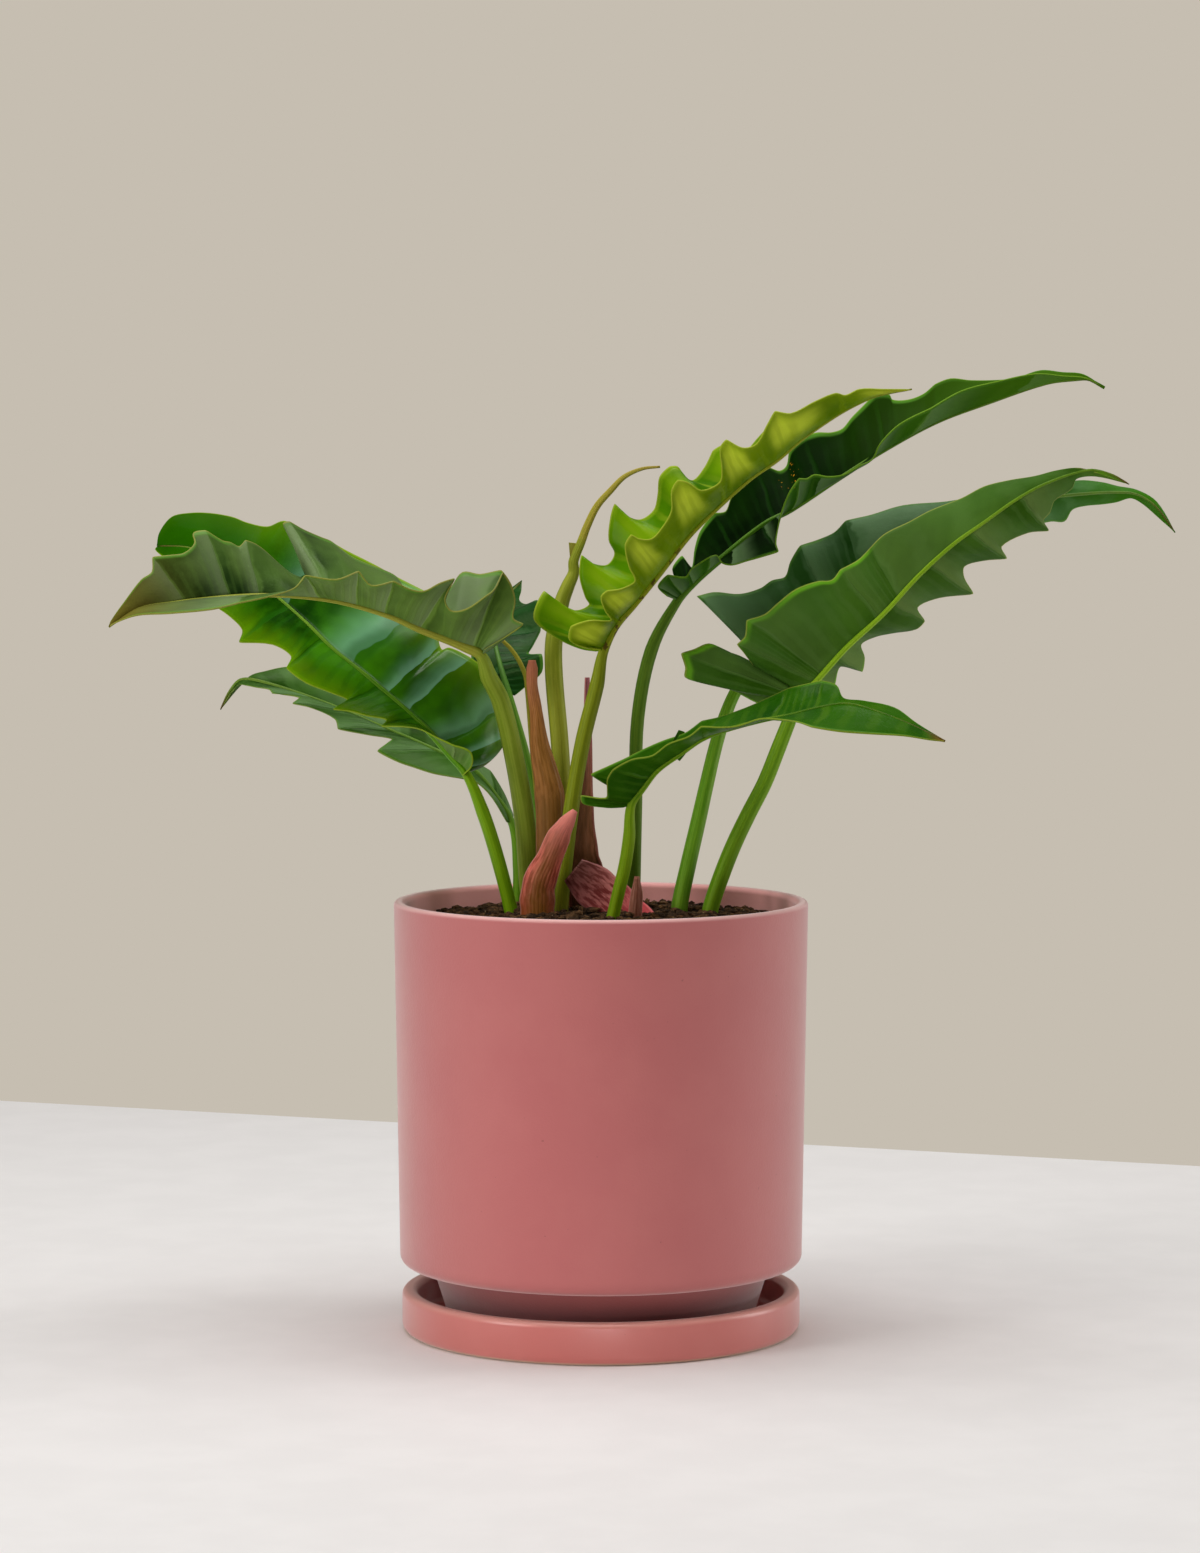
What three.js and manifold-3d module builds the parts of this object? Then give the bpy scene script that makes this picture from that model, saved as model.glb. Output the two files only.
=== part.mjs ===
// A potted philodendron with long toothed leaves, in a round ceramic pot on its saucer.
// Millimetres, +Z up. The origin is the centre of the saucer's flat underside.
// The plant is seen from the front along +Y, with +X to the right.
import * as THREE from 'three';
import { ConvexGeometry } from 'three/addons/geometries/ConvexGeometry.js';
import { mergeVertices, mergeGeometries } from 'three/addons/utils/BufferGeometryUtils.js';
import Module from 'manifold-3d';

const wasm = await Module();
wasm.setup();

// Driving dimensions
const fitGap = 0.35;          // clearance between pieces that rest on or stand in each other
const roundSegments = 48;     // facets round the pot and saucer
const potRimRadius = 105;     // outer radius under the lip
const potRimHeight = 218.7;   // top of the lip above the table
const potHeelRadius = 102.3;  // outer radius at the bottom of the straight wall
const potHeelHeight = 34;     // underside of the overhanging body
const potHeelRound = 5;       // rounding of the bottom corner
const potWall = 6;            // wall thickness
const footTopRadius = 86.5;   // recessed foot, where it meets the body
const footBaseRadius = 78;    // recessed foot, where it stands in the saucer
const potFloor = 8;           // thickness of the pot's floor
const drainRadius = 7;        // drain hole through the floor
const saucerRadius = 101.3;   // outer radius of the saucer's wall
const saucerBaseRadius = 99.5;
const saucerHeight = 20.9;
const saucerWall = 8.4;
const saucerFloor = 5;
const soilCentreHeight = 213.5;
const soilEdgeHeight = 207.5;
const soilLump = 1.1;         // height of the lumps on the soil
const buryDepth = 18;         // how far the stems stand in the soil
const bladeThickness = 0.8;
const bladeCup = 0.04;        // how far each half blade bulges, as a share of its width
const sheathThickness = 1.2;
const slotGap = 0.5;          // clearance of the curved slots the sheaths stand in
const stemSides = 7;

// Each leaf grows from the soil as one piece. petiole: [x, y, z, radius] from the soil up. spine: the
// midrib from its junction to the tip. near and far: the two margins, as halfBladeGeometry reads them.
const leaves = {
  leaf_left_arching: {
    ribRadius: 3.6,
    petiole: [
      [-34, 24, 214, 5.6], [-36, 23, 222, 5.6], [-39, 21, 258, 5.3], [-44, 17, 289, 5],
      [-51, 12, 319, 4.7], [-57, 6, 332, 4.4],
    ],
    spine: [
      [-61, 0, 343], [-69, -2, 347], [-76, -4, 350], [-91, -9, 356], [-106, -14, 363],
      [-129, -20, 370], [-148, -27, 373], [-170, -33, 374], [-191, -40, 373], [-210, -46, 371],
      [-228, -53, 368], [-242, -58, 359],
    ],
    near: [
      [0.2, -59, -4, 346], [0.6, -49, -9, 352], [1, -39, -14, 359], [1.4, -44, -15, 362],
      [1.8, -43, -17, 371], [2.7, -45, -19, 379], [3.7, -49, -20, 385], [9.7, -53, -25, 377],
      [13, -58, -27, 373], [16, -67, -25, 367], [19, -75, -21, 366], [22, -78, -23, 372],
      [34, -73, -27, 382], [37, -80, -31, 380], [42, -88, -31, 376], [47, -95, -33, 377],
      [54, -103, -37, 381], [61, -114, -39, 379], [69, -120, -43, 386], [78, -131, -43, 382],
      [88, -146, -47, 384], [97, -151, -53, 378], [108, -163, -61, 374], [123, -177, -67, 371],
      [141, -190, -71, 368], [161, -211, -71, 366], [179, -227, -67, 365], [193, -239, -60, 361],
    ],
    far: [
      [0.6, -63, 6, 347], [1.2, -52, 22, 359], [2.4, -46, 30, 374], [4.9, -51, 32, 385],
      [8.6, -62, 34, 383], [13, -71, 34, 384], [18, -78, 31, 375], [25, -88, 34, 372],
      [35, -98, 35, 372], [46, -108, 33, 374], [58, -118, 29, 375], [71, -132, 22, 378],
      [82, -142, 14, 380], [91, -149, 4, 388], [98, -153, -4, 393], [106, -163, -10, 395],
      [114, -170, -16, 399], [121, -178, -20, 401], [126, -185, -23, 401], [130, -189, -25, 401],
      [134, -197, -26, 406], [138, -203, -28, 405], [142, -202, -33, 400], [147, -207, -38, 395],
      [152, -214, -40, 394], [157, -222, -42, 393], [163, -222, -46, 386], [171, -227, -50, 382],
      [181, -235, -54, 371], [193, -241, -57, 362],
    ],
  },
  leaf_left_glossy: {
    ribRadius: 3,
    petiole: [
      [-45, 5, 205, 3.5], [-46, 5, 214, 3.5], [-53, 6, 241, 3.5], [-60, 5, 263, 3.4],
    ],
    spine: [
      [-68, 4, 282], [-77, 7, 292], [-88, 12, 304], [-103, 20, 317], [-120, 29, 331],
      [-137, 37, 344], [-152, 44, 358], [-171, 52, 374], [-193, 62, 388], [-214, 72, 396],
      [-232, 79, 397],
    ],
    near: [
      [0.8, -70, 0, 282], [1.6, -65, -8, 288], [4.9, -66, -12, 295], [10.5, -74, -13, 298],
      [17, -83, -11, 302], [24, -92, -7, 306], [33, -101, -5, 307], [40, -111, -1, 307],
      [47, -109, 4, 310], [50, -119, 5, 312], [59, -127, 8, 314], [66, -136, 10, 315],
      [77, -129, 17, 319], [87, -138, 19, 323], [97, -151, 22, 328], [108, -161, 28, 335],
      [115, -159, 33, 341], [124, -169, 36, 347], [134, -186, 39, 348], [142, -185, 46, 354],
      [152, -192, 50, 361], [165, -201, 56, 367], [178, -210, 62, 376], [191, -220, 68, 385],
      [204, -228, 74, 391], [215, -233, 78, 395],
    ],
    far: [
      [0.8, -67, 12, 283], [2.4, -59, 26, 286], [5.7, -51, 36, 294], [11.4, -48, 42, 303],
      [19, -49, 44, 314], [30, -55, 42, 326], [40, -62, 40, 336], [49, -69, 40, 341],
      [54, -78, 41, 345], [59, -82, 42, 344], [64, -84, 45, 351], [73, -82, 51, 362],
      [85, -84, 56, 370], [97, -94, 60, 375], [107, -106, 62, 381], [116, -117, 64, 387],
      [126, -133, 66, 395], [136, -142, 68, 400], [147, -157, 70, 406], [156, -165, 72, 410],
      [165, -174, 76, 407], [176, -185, 80, 409], [186, -193, 82, 412], [194, -205, 84, 414],
      [203, -216, 86, 414], [210, -225, 86, 412], [217, -231, 83, 404],
    ],
  },
  leaf_left_low: {
    ribRadius: 2.6,
    petiole: [
      [-43, 60, 205, 3], [-43, 60, 214, 3], [-43, 60, 231, 3],
    ],
    spine: [
      [-46, 60, 252], [-55, 61, 267], [-67, 63, 281], [-89, 66, 292], [-115, 71, 303],
      [-147, 76, 316], [-178, 81, 326], [-189, 83, 327], [-195, 84, 321], [-200, 85, 311],
    ],
    near: [
      [1.1, -49, 57, 254], [5.5, -58, 51, 269], [15, -66, 49, 276], [25, -76, 47, 278],
      [36, -87, 47, 280], [44, -97, 49, 283], [50, -106, 51, 286], [56, -116, 55, 291],
      [62, -111, 60, 295], [68, -109, 62, 297], [76, -121, 62, 299], [83, -137, 64, 302],
      [91, -139, 68, 307], [99, -152, 69, 313], [108, -161, 70, 315], [115, -158, 74, 318],
      [123, -172, 76, 320], [131, -174, 78, 322], [141, -181, 80, 323], [151, -187, 82, 324],
      [163, -191, 83, 324],
    ],
    far: [
      [1.1, -46, 67, 257], [8.8, -51, 74, 268], [19, -58, 78, 279], [31, -64, 80, 283],
      [44, -73, 84, 296], [58, -85, 88, 308], [75, -103, 90, 316], [92, -121, 92, 321],
      [110, -138, 92, 328], [124, -151, 92, 333], [136, -166, 91, 333], [146, -176, 89, 331],
      [157, -185, 86, 328],
    ],
  },
  leaf_back_dark: {
    ribRadius: 2.4,
    petiole: [
      [-30, 50, 206, 2.8], [-30, 50, 216, 2.8], [-34, 58, 265, 2.8], [-41, 64, 294, 2.6],
    ],
    spine: [
      [-48, 72, 319], [-53, 82, 335], [-56, 98, 347], [-55, 118, 358], [-51, 140, 368],
      [-43, 160, 377],
    ],
    near: [
      [1.1, -45, 74, 319], [5.5, -40, 77, 323], [11, -31, 79, 331], [19, -31, 84, 340],
      [27, -38, 91, 340], [34, -36, 95, 344], [46, -32, 104, 352], [62, -33, 118, 367],
      [75, -40, 130, 365], [88, -44, 142, 367], [100, -43, 152, 372],
    ],
    far: [
      [1.1, -51, 73, 318], [6.6, -59, 72, 317], [15, -65, 75, 325], [29, -68, 84, 339],
      [46, -67, 98, 351], [64, -64, 114, 361], [82, -58, 132, 366], [99, -49, 150, 373],
    ],
  },
  leaf_young_lime: {
    ribRadius: 3.2,
    petiole: [
      [-21, -2, 210, 4.2], [-20, -2, 223, 4.2], [-15, -1, 265, 4], [-9, 0, 300, 3.9],
      [-2, 0, 328, 3.7],
    ],
    spine: [
      [1, 0, 344], [7, -1, 357], [17, -4, 369], [30, -7, 385], [44, -10, 403], [58, -13, 417],
      [75, -17, 432], [88, -20, 441], [101, -23, 452], [117, -27, 463], [128, -29, 469],
      [138, -31, 473], [154, -35, 476],
    ],
    near: [
      [0.4, -1, -4, 346], [1.3, -8, -10, 347], [2.6, -16, -14, 351], [5.2, -15, -18, 358],
      [10.4, -6, -20, 361], [16, 5, -16, 361], [19, 2, -20, 366], [22, 0, -24, 373],
      [26, 3, -26, 376], [32, 10, -26, 377], [37, 17, -24, 381], [41, 14, -28, 388],
      [45, 12, -32, 399], [49, 15, -34, 404], [54, 19, -32, 402], [60, 25, -30, 402],
      [65, 30, -28, 407], [70, 35, -30, 416], [75, 35, -34, 426], [80, 38, -36, 431],
      [86, 43, -36, 430], [93, 50, -32, 426], [100, 59, -30, 430], [104, 60, -32, 437],
      [109, 59, -36, 447], [114, 62, -38, 451], [121, 70, -38, 447], [128, 77, -36, 449],
      [134, 82, -38, 458], [141, 86, -40, 465], [150, 94, -40, 464], [160, 106, -38, 470],
      [171, 116, -38, 474], [178, 121, -37, 473], [187, 128, -37, 476], [199, 140, -36, 476],
    ],
    far: [
      [0.8, -3, 3, 345], [1.3, -10, 3, 346], [2.6, -18, 3, 349], [3.9, -28, 2, 355],
      [4.6, -34, 3, 361], [6.5, -33, 5, 368], [8.5, -29, 9, 375], [18, -23, 11, 369],
      [21, -13, 11, 365], [25, -6, 12, 368], [28, -8, 13, 372], [29, -11, 15, 383],
      [32, -10, 18, 393], [41, -5, 18, 389], [45, 3, 17, 388], [49, 7, 18, 394], [51, 4, 19, 401],
      [54, 5, 21, 413], [57, 7, 23, 419], [69, 13, 21, 413], [75, 20, 20, 411], [76, 27, 20, 416],
      [79, 29, 21, 424], [82, 30, 22, 433], [84, 35, 23, 438], [87, 39, 23, 438],
      [102, 42, 21, 433], [110, 47, 19, 431], [116, 53, 19, 438], [121, 57, 20, 446],
      [128, 63, 18, 449], [135, 72, 14, 445], [143, 80, 10, 453], [152, 89, 6, 462],
      [164, 104, 0, 464], [178, 120, -10, 470], [193, 133, -20, 473],
    ],
  },
  leaf_back_right: {
    ribRadius: 3,
    petiole: [
      [17, 50, 208, 3.6], [17, 50, 218, 3.6], [18, 48, 266, 3.5], [19, 46, 308, 3.4],
      [26, 42, 344, 3.4],
    ],
    spine: [
      [39, 37, 369], [49, 37, 380], [63, 38, 392], [75, 40, 402], [86, 41, 410], [98, 43, 416],
      [121, 46, 431], [145, 49, 446], [173, 52, 461], [200, 54, 471], [230, 58, 481],
      [246, 61, 483], [253, 63, 483], [261, 64, 479],
    ],
    near: [
      [0.7, 34, 28, 372], [2.2, 29, 22, 377], [4.5, 34, 18, 383], [9.7, 43, 18, 382],
      [15, 46, 18, 386], [21, 55, 18, 392], [26, 59, 20, 393], [32, 62, 24, 389],
      [39, 67, 25, 388], [46, 74, 23, 390], [53, 81, 20, 392], [59, 90, 17, 395],
      [62, 89, 19, 399], [66, 90, 22, 406], [69, 92, 21, 415], [72, 96, 21, 425],
      [76, 101, 23, 432], [80, 105, 25, 432], [85, 109, 27, 434], [93, 116, 27, 433],
      [101, 124, 29, 434], [109, 133, 31, 439], [116, 139, 33, 442], [121, 143, 33, 450],
      [131, 153, 33, 460], [146, 169, 37, 468], [165, 185, 41, 477], [184, 204, 45, 482],
      [205, 224, 51, 486], [226, 239, 57, 485], [242, 251, 61, 484],
    ],
    far: [
      [1.5, 43, 46, 375], [5.2, 37, 56, 385], [9.7, 42, 60, 392], [18, 47, 58, 386],
      [25, 49, 66, 396], [31, 52, 70, 405], [39, 59, 72, 414], [46, 65, 70, 415],
      [51, 68, 72, 422], [59, 74, 74, 430], [66, 81, 76, 438], [72, 87, 74, 438],
      [76, 93, 72, 436], [81, 97, 74, 439], [88, 99, 76, 448], [95, 106, 78, 454],
      [102, 113, 78, 456], [108, 120, 76, 456], [114, 126, 76, 458], [121, 131, 76, 464],
      [127, 137, 78, 470], [134, 143, 78, 476], [138, 150, 78, 476], [142, 152, 76, 473],
      [150, 160, 74, 473], [158, 168, 74, 476], [166, 174, 74, 481], [175, 182, 74, 484],
      [186, 192, 72, 483], [199, 205, 70, 483], [212, 215, 68, 484], [223, 228, 66, 488],
      [234, 239, 65, 487], [243, 250, 65, 486],
    ],
  },
  leaf_right_broad: {
    ribRadius: 3.2,
    petiole: [
      [55, 8, 205, 4.2], [56, 8, 214, 4.2], [62, 8, 232, 4.2], [68, 8, 247, 4.1], [75, 6, 262, 4],
      [83, 4, 278, 3.9], [90, 2, 296, 3.8], [95, 1, 309, 3.6],
    ],
    spine: [
      [99, 0, 319], [109, -2, 330], [124, -5, 347], [142, -10, 364], [159, -15, 383],
      [176, -20, 399], [191, -25, 410], [206, -29, 421], [220, -33, 429], [241, -39, 436],
      [252, -41, 434], [261, -43, 429],
    ],
    near: [
      [0.8, 93, 5, 314], [1.2, 80, 12, 318], [1.6, 66, 16, 325], [2, 54, 18, 328],
      [2.4, 43, 18, 331], [2.8, 43, 18, 336], [3.2, 41, 18, 343], [3.6, 47, 18, 345],
      [4, 55, 18, 348], [4.4, 64, 18, 344], [4.8, 72, 17, 341], [6.8, 79, 12, 335],
      [11.2, 74, 5, 342], [14, 69, 7, 348], [16, 73, 9, 352], [19, 74, 13, 360], [22, 83, 14, 363],
      [28, 90, 13, 369], [37, 99, 11, 376], [46, 110, 9, 380], [54, 117, 3, 381],
      [60, 121, 3, 386], [68, 130, 1, 391], [75, 136, 1, 397], [84, 143, -1, 404],
      [97, 155, -3, 410], [111, 166, -7, 416], [124, 181, -11, 422], [138, 192, -17, 428],
      [151, 204, -22, 431], [164, 216, -27, 433], [177, 227, -33, 436], [189, 237, -38, 437],
    ],
    far: [
      [0.8, 104, 5, 317], [4.5, 112, 10, 321], [11.2, 119, 14, 328], [19, 121, 14, 336],
      [24, 126, 15, 338], [30, 133, 17, 334], [36, 134, 15, 341], [41, 132, 11, 348],
      [46, 139, 9, 352], [50, 148, 8, 354], [61, 160, 8, 356], [70, 164, 8, 360],
      [78, 160, 4, 367], [87, 171, 2, 372], [97, 188, 2, 374], [102, 183, -3, 382],
      [107, 183, -5, 388], [115, 193, -7, 391], [124, 204, -8, 392], [132, 201, -11, 398],
      [144, 214, -15, 405], [154, 224, -17, 406], [159, 221, -19, 411], [164, 224, -21, 415],
      [169, 226, -24, 421], [176, 234, -30, 427], [184, 236, -35, 432], [194, 245, -39, 433],
    ],
  },
  leaf_right_behind: {
    ribRadius: 3,
    petiole: [
      [40, 8, 205, 4.3], [40, 8, 214, 4.3], [44, 12, 233, 4.1], [50, 20, 258, 3.9],
      [54, 26, 275, 3.7], [59, 34, 295, 3.5], [64, 42, 310, 3.3], [70, 47, 323, 3.1],
    ],
    spine: [
      [81, 50, 338], [94, 52, 352], [107, 54, 366], [125, 56, 380], [145, 58, 391], [171, 61, 404],
      [197, 64, 415], [223, 67, 421], [249, 70, 424], [268, 73, 425], [279, 74, 424],
      [289, 75, 418], [300, 77, 404],
    ],
    near: [
      [0.8, 50, 65, 371], [5.4, 59, 66, 373], [15, 72, 67, 372], [23, 83, 67, 375],
      [30, 89, 68, 379], [35, 96, 69, 381], [41, 99, 72, 389], [48, 104, 74, 397],
      [57, 113, 75, 400], [65, 122, 76, 404], [72, 128, 78, 410], [84, 141, 79, 413],
      [101, 158, 80, 418], [122, 181, 80, 420], [145, 203, 80, 424], [169, 230, 80, 428],
      [187, 250, 80, 431], [199, 262, 80, 430], [210, 270, 79, 428], [222, 280, 78, 426],
      [235, 290, 77, 420],
    ],
    far: [
      [1.5, 88, 56, 332], [6.9, 98, 59, 334], [16, 111, 62, 341], [35, 127, 64, 351],
      [55, 139, 66, 358], [73, 154, 68, 365], [96, 172, 70, 375], [119, 187, 72, 387],
      [142, 205, 74, 398], [159, 224, 76, 407], [172, 235, 77, 410], [180, 242, 77, 410],
      [186, 246, 77, 416], [193, 252, 77, 418], [204, 262, 77, 419], [213, 269, 76, 420],
      [222, 277, 75, 422], [234, 285, 75, 417],
    ],
  },
  leaf_front_small: {
    ribRadius: 2.8,
    petiole: [
      [4, -37, 205, 3.2], [6, -37, 214, 3.2], [9, -38, 227, 3.2], [12, -39, 240, 3.2],
      [14, -40, 254, 3.1],
    ],
    spine: [
      [15, -42, 270], [21, -44, 279], [28, -48, 288], [40, -55, 297], [50, -60, 304],
      [62, -68, 309], [79, -77, 314], [92, -84, 317], [106, -90, 321], [119, -95, 323],
      [132, -101, 320], [148, -107, 314], [165, -114, 306],
    ],
    near: [
      [0.2, 11, -43, 269], [0.6, 1, -45, 269], [1, -9, -45, 271], [1.4, -10, -47, 275],
      [1.8, 2, -50, 274], [6, 3, -55, 278], [11.8, 3, -59, 284], [17, 6, -61, 289],
      [22, 15, -63, 294], [29, 25, -65, 296], [38, 33, -69, 302], [48, 43, -73, 306],
      [56, 49, -77, 311], [66, 57, -83, 311], [77, 66, -91, 312], [89, 77, -99, 316],
      [100, 87, -107, 316], [111, 95, -113, 315], [123, 101, -117, 313], [135, 114, -120, 311],
      [149, 129, -122, 310], [162, 145, -121, 309], [175, 157, -118, 307],
    ],
    far: [
      [0.6, 19, -37, 273], [1.4, 13, -33, 275], [3, 4, -32, 279], [5, -1, -34, 282],
      [8, -5, -36, 285], [11.8, 3, -38, 289], [17, 12, -38, 293], [23, 22, -39, 298],
      [30, 31, -41, 302], [38, 42, -44, 306], [47, 50, -47, 312], [58, 58, -51, 314],
      [70, 69, -55, 318], [82, 78, -59, 322], [94, 92, -65, 329], [106, 99, -69, 331],
      [116, 108, -71, 333], [123, 115, -75, 331], [129, 118, -83, 325], [137, 127, -87, 324],
      [151, 142, -95, 321], [165, 152, -103, 314],
    ],
  },
};

// Sheaths left by older leaves: [x, y, z, half width] up the middle of each, and how far it wraps
const sheaths = {
  sheath_front_red: {
    wrap: 120, face: [0, -1],
    line: [
      [-32, -20, 214, 8.4], [-32, -20, 221, 8.4], [-31, -20, 229, 8], [-26, -21, 241, 6.4],
      [-21, -23, 253, 5.4], [-17, -24, 260, 3.6], [-13, -25, 266, 1],
    ],
  },
  sheath_tall_brown: {
    wrap: 110, face: [0, -1],
    line: [
      [-24, 4, 214, 8], [-25, 4, 244, 7.6], [-26, 4, 269, 7.2], [-27, 4, 278, 6.6], [-31, 5, 296, 4.5],
      [-33, 7, 314, 2.8], [-35, 9, 327, 2.5], [-35, 10, 336, 2.4], [-35, 10, 340, 1.4],
    ],
  },
  sheath_slim_brown: {
    wrap: 110, face: [0, 1],
    line: [
      [-7, 16, 214, 9], [-8, 15, 234, 8.4], [-9, 15, 241, 7.4], [-9, 15, 255, 5.6], [-8, 15, 273, 3.4],
      [-7, 15, 293, 2.2], [-7, 15, 314, 1.4], [-7, 15, 331, 0.8],
    ],
  },
  sheath_pink_ribbed: {
    wrap: 70, face: [0, -1],
    line: [
      [12, -12, 212, 11], [5, -12.5, 219, 11], [-2, -13, 225, 11], [-8, -13.5, 230, 10.8],
      [-14, -14, 235, 9.5],
    ],
  },
  sheath_small_pink: {
    wrap: 100, face: [0, -1],
    line: [[17, -26, 213, 3.3], [18, -26, 225, 2.6], [18, -26, 233, 0.8]],
  },
};

// The rolled spear of the newest leaf and a thin dried stalk: [x, y, z, radius] from the soil up
const stalks = {
  spear_rolled_leaf: [
    [-22, 17, 214, 4.6], [-20, 20, 272, 4.6], [-21, 22, 296, 4.6], [-24, 26, 331, 4.6], [-24, 28, 350, 4.5],
    [-20, 30, 369, 3.9], [-17, 30, 377, 3.5], [-14, 30, 384, 2.9], [-14, 29, 390, 2.6], [-10, 28, 400, 2.2],
    [-7, 27, 408, 2], [-2, 26, 418, 1.8], [5, 24, 426, 1.6], [12, 22, 433, 1.3], [21, 20, 437, 0.9],
    [30, 19, 438, 0.6],
  ],
  stalk_thin_yellow: [
    [-27, 34, 214, 1.3], [-28, 34, 221, 1.3], [-35, 36, 288, 1.2], [-38, 38, 324, 1.2], [-39, 39, 331, 1.2],
    [-42, 40, 338, 1.2], [-46, 42, 344, 1.1], [-51, 44, 349, 1],
  ],
};

const colours = {
  pot: ['#c06a68', 0.75],
  saucer: ['#bf625c', 0.35],
  soil: ['#3a2a20', 0.95],
  leafGreen: ['#2f6b1c', 0.4],
  leafOlive: ['#5a6b38', 0.45],
  leafDark: ['#1d4a26', 0.4],
  leafLime: ['#86a51f', 0.4],
  sheathBrown: ['#7d5a30', 0.6],
  sheathPink: ['#b0504a', 0.55],
  stalkYellow: ['#a89a34', 0.5],
};
const leafColours = {
  leaf_left_arching: 'leafOlive', leaf_left_glossy: 'leafGreen', leaf_left_low: 'leafDark',
  leaf_back_dark: 'leafDark', leaf_young_lime: 'leafLime', leaf_back_right: 'leafDark',
  leaf_right_broad: 'leafGreen', leaf_right_behind: 'leafDark', leaf_front_small: 'leafGreen',
};
const sheathColours = {
  sheath_front_red: 'sheathPink', sheath_tall_brown: 'sheathBrown', sheath_slim_brown: 'sheathBrown',
  sheath_pink_ribbed: 'sheathPink', sheath_small_pink: 'sheathPink',
};

const vec = (p) => new THREE.Vector3(p[0], p[1], p[2]);
const lerp = THREE.MathUtils.lerp;

// Straight-line value of a list at a fractional place in it
function listValue(values, place) {
  const k = Math.min(Math.max(Math.floor(place), 0), values.length - 2);
  return lerp(values[k], values[k + 1], place - k);
}

// Keeps only positions and joins shared corners, which is what a closed solid needs
function welded(geometry) {
  const g = geometry.clone();
  for (const name of Object.keys(g.attributes)) {
    if (name !== 'position') g.deleteAttribute(name);
  }
  return mergeVertices(g, 1e-4);
}

function signedVolume(geometry) {
  const p = geometry.attributes.position;
  const index = geometry.index.array;
  const [a, b, c] = [new THREE.Vector3(), new THREE.Vector3(), new THREE.Vector3()];
  let sum = 0;
  for (let i = 0; i < index.length; i += 3) {
    a.fromBufferAttribute(p, index[i]);
    b.fromBufferAttribute(p, index[i + 1]);
    c.fromBufferAttribute(p, index[i + 2]);
    sum += a.dot(b.cross(c)) / 6;
  }
  return sum;
}

// A closed solid for joining and cutting, turned right side out, without its zero-area triangles
function solid(geometry) {
  const g = welded(geometry);
  const source = g.index.array;
  const kept = [];
  for (let i = 0; i < source.length; i += 3) {
    const [a, b, c] = [source[i], source[i + 1], source[i + 2]];
    if (a !== b && b !== c && c !== a) kept.push(a, b, c);
  }
  g.setIndex(kept);
  const flip = signedVolume(g) < 0;
  const tri = new Uint32Array(kept.length);
  for (let i = 0; i < kept.length; i += 3) {
    tri[i] = kept[i];
    tri[i + 1] = kept[flip ? i + 2 : i + 1];
    tri[i + 2] = kept[flip ? i + 1 : i + 2];
  }
  const vertProperties = new Float32Array(g.attributes.position.array);
  return new wasm.Manifold(new wasm.Mesh({ numProp: 3, vertProperties, triVerts: tri }));
}

function solidGeometry(manifold) {
  const mesh = manifold.getMesh();
  const g = new THREE.BufferGeometry();
  g.setAttribute('position', new THREE.BufferAttribute(new Float32Array(mesh.vertProperties), 3));
  g.setIndex(new THREE.BufferAttribute(new Uint32Array(mesh.triVerts), 1));
  return g;
}

// The largest connected part of a geometry. Slivers thinner than a hair, left where joined plates
// cross, are dropped.
function mainPiece(geometry) {
  const index = geometry.index.array;
  const group = Array.from({ length: geometry.attributes.position.count }, (_, k) => k);
  const root = (k) => {
    let r = k;
    while (group[r] !== r) r = group[r];
    return r;
  };
  for (let t = 0; t < index.length; t += 3) {
    for (const corner of [index[t + 1], index[t + 2]]) group[root(corner)] = root(index[t]);
  }
  const parts = new Map();
  for (let t = 0; t < index.length; t += 3) {
    const key = root(index[t]);
    if (!parts.has(key)) parts.set(key, []);
    parts.get(key).push(index[t], index[t + 1], index[t + 2]);
  }
  const g = geometry.clone();
  g.setIndex([...parts.values()].reduce((best, part) => (part.length > best.length ? part : best)));
  return mergeVertices(g.toNonIndexed(), 1e-4);
}

// A round stem through [x, y, z, radius] points: a capped cylinder bent along their smooth curve
function stemGeometry(points, grow = 0, sides = stemSides) {
  const curve = new THREE.CatmullRomCurve3(points.map(vec), false, 'centripetal');
  const radii = points.map((p) => p[3] + grow);
  const steps = points.length - 1;
  const g = new THREE.CylinderGeometry(1, 1, 1, sides, steps);
  const position = g.attributes.position;
  const depthAxis = new THREE.Vector3(0, 1, 0);
  const [spot, across, inward] = [new THREE.Vector3(), new THREE.Vector3(), new THREE.Vector3()];
  for (let i = 0; i < position.count; i++) {
    const t = position.getY(i) + 0.5;
    curve.getPoint(t, spot);
    const tangent = curve.getTangent(t);
    across.crossVectors(tangent, depthAxis).normalize();
    inward.crossVectors(across, tangent);
    const r = listValue(radii, t * (points.length - 1));
    spot.addScaledVector(across, r * position.getX(i)).addScaledVector(inward, r * position.getZ(i));
    position.setXYZ(i, spot.x, spot.y, spot.z);
  }
  return g;
}

// The same stem straight down into the soil, to the bottom of its hole
function rooted(points, extra = 0) {
  const [x, y, z, r] = points[0];
  return [[x, y, z - buryDepth - extra, r], ...points];
}

const between = (line, i, low, high) => new THREE.Vector3().subVectors(
  line[Math.min(i + 1, high)], line[Math.max(i - 1, low)]);

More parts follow.
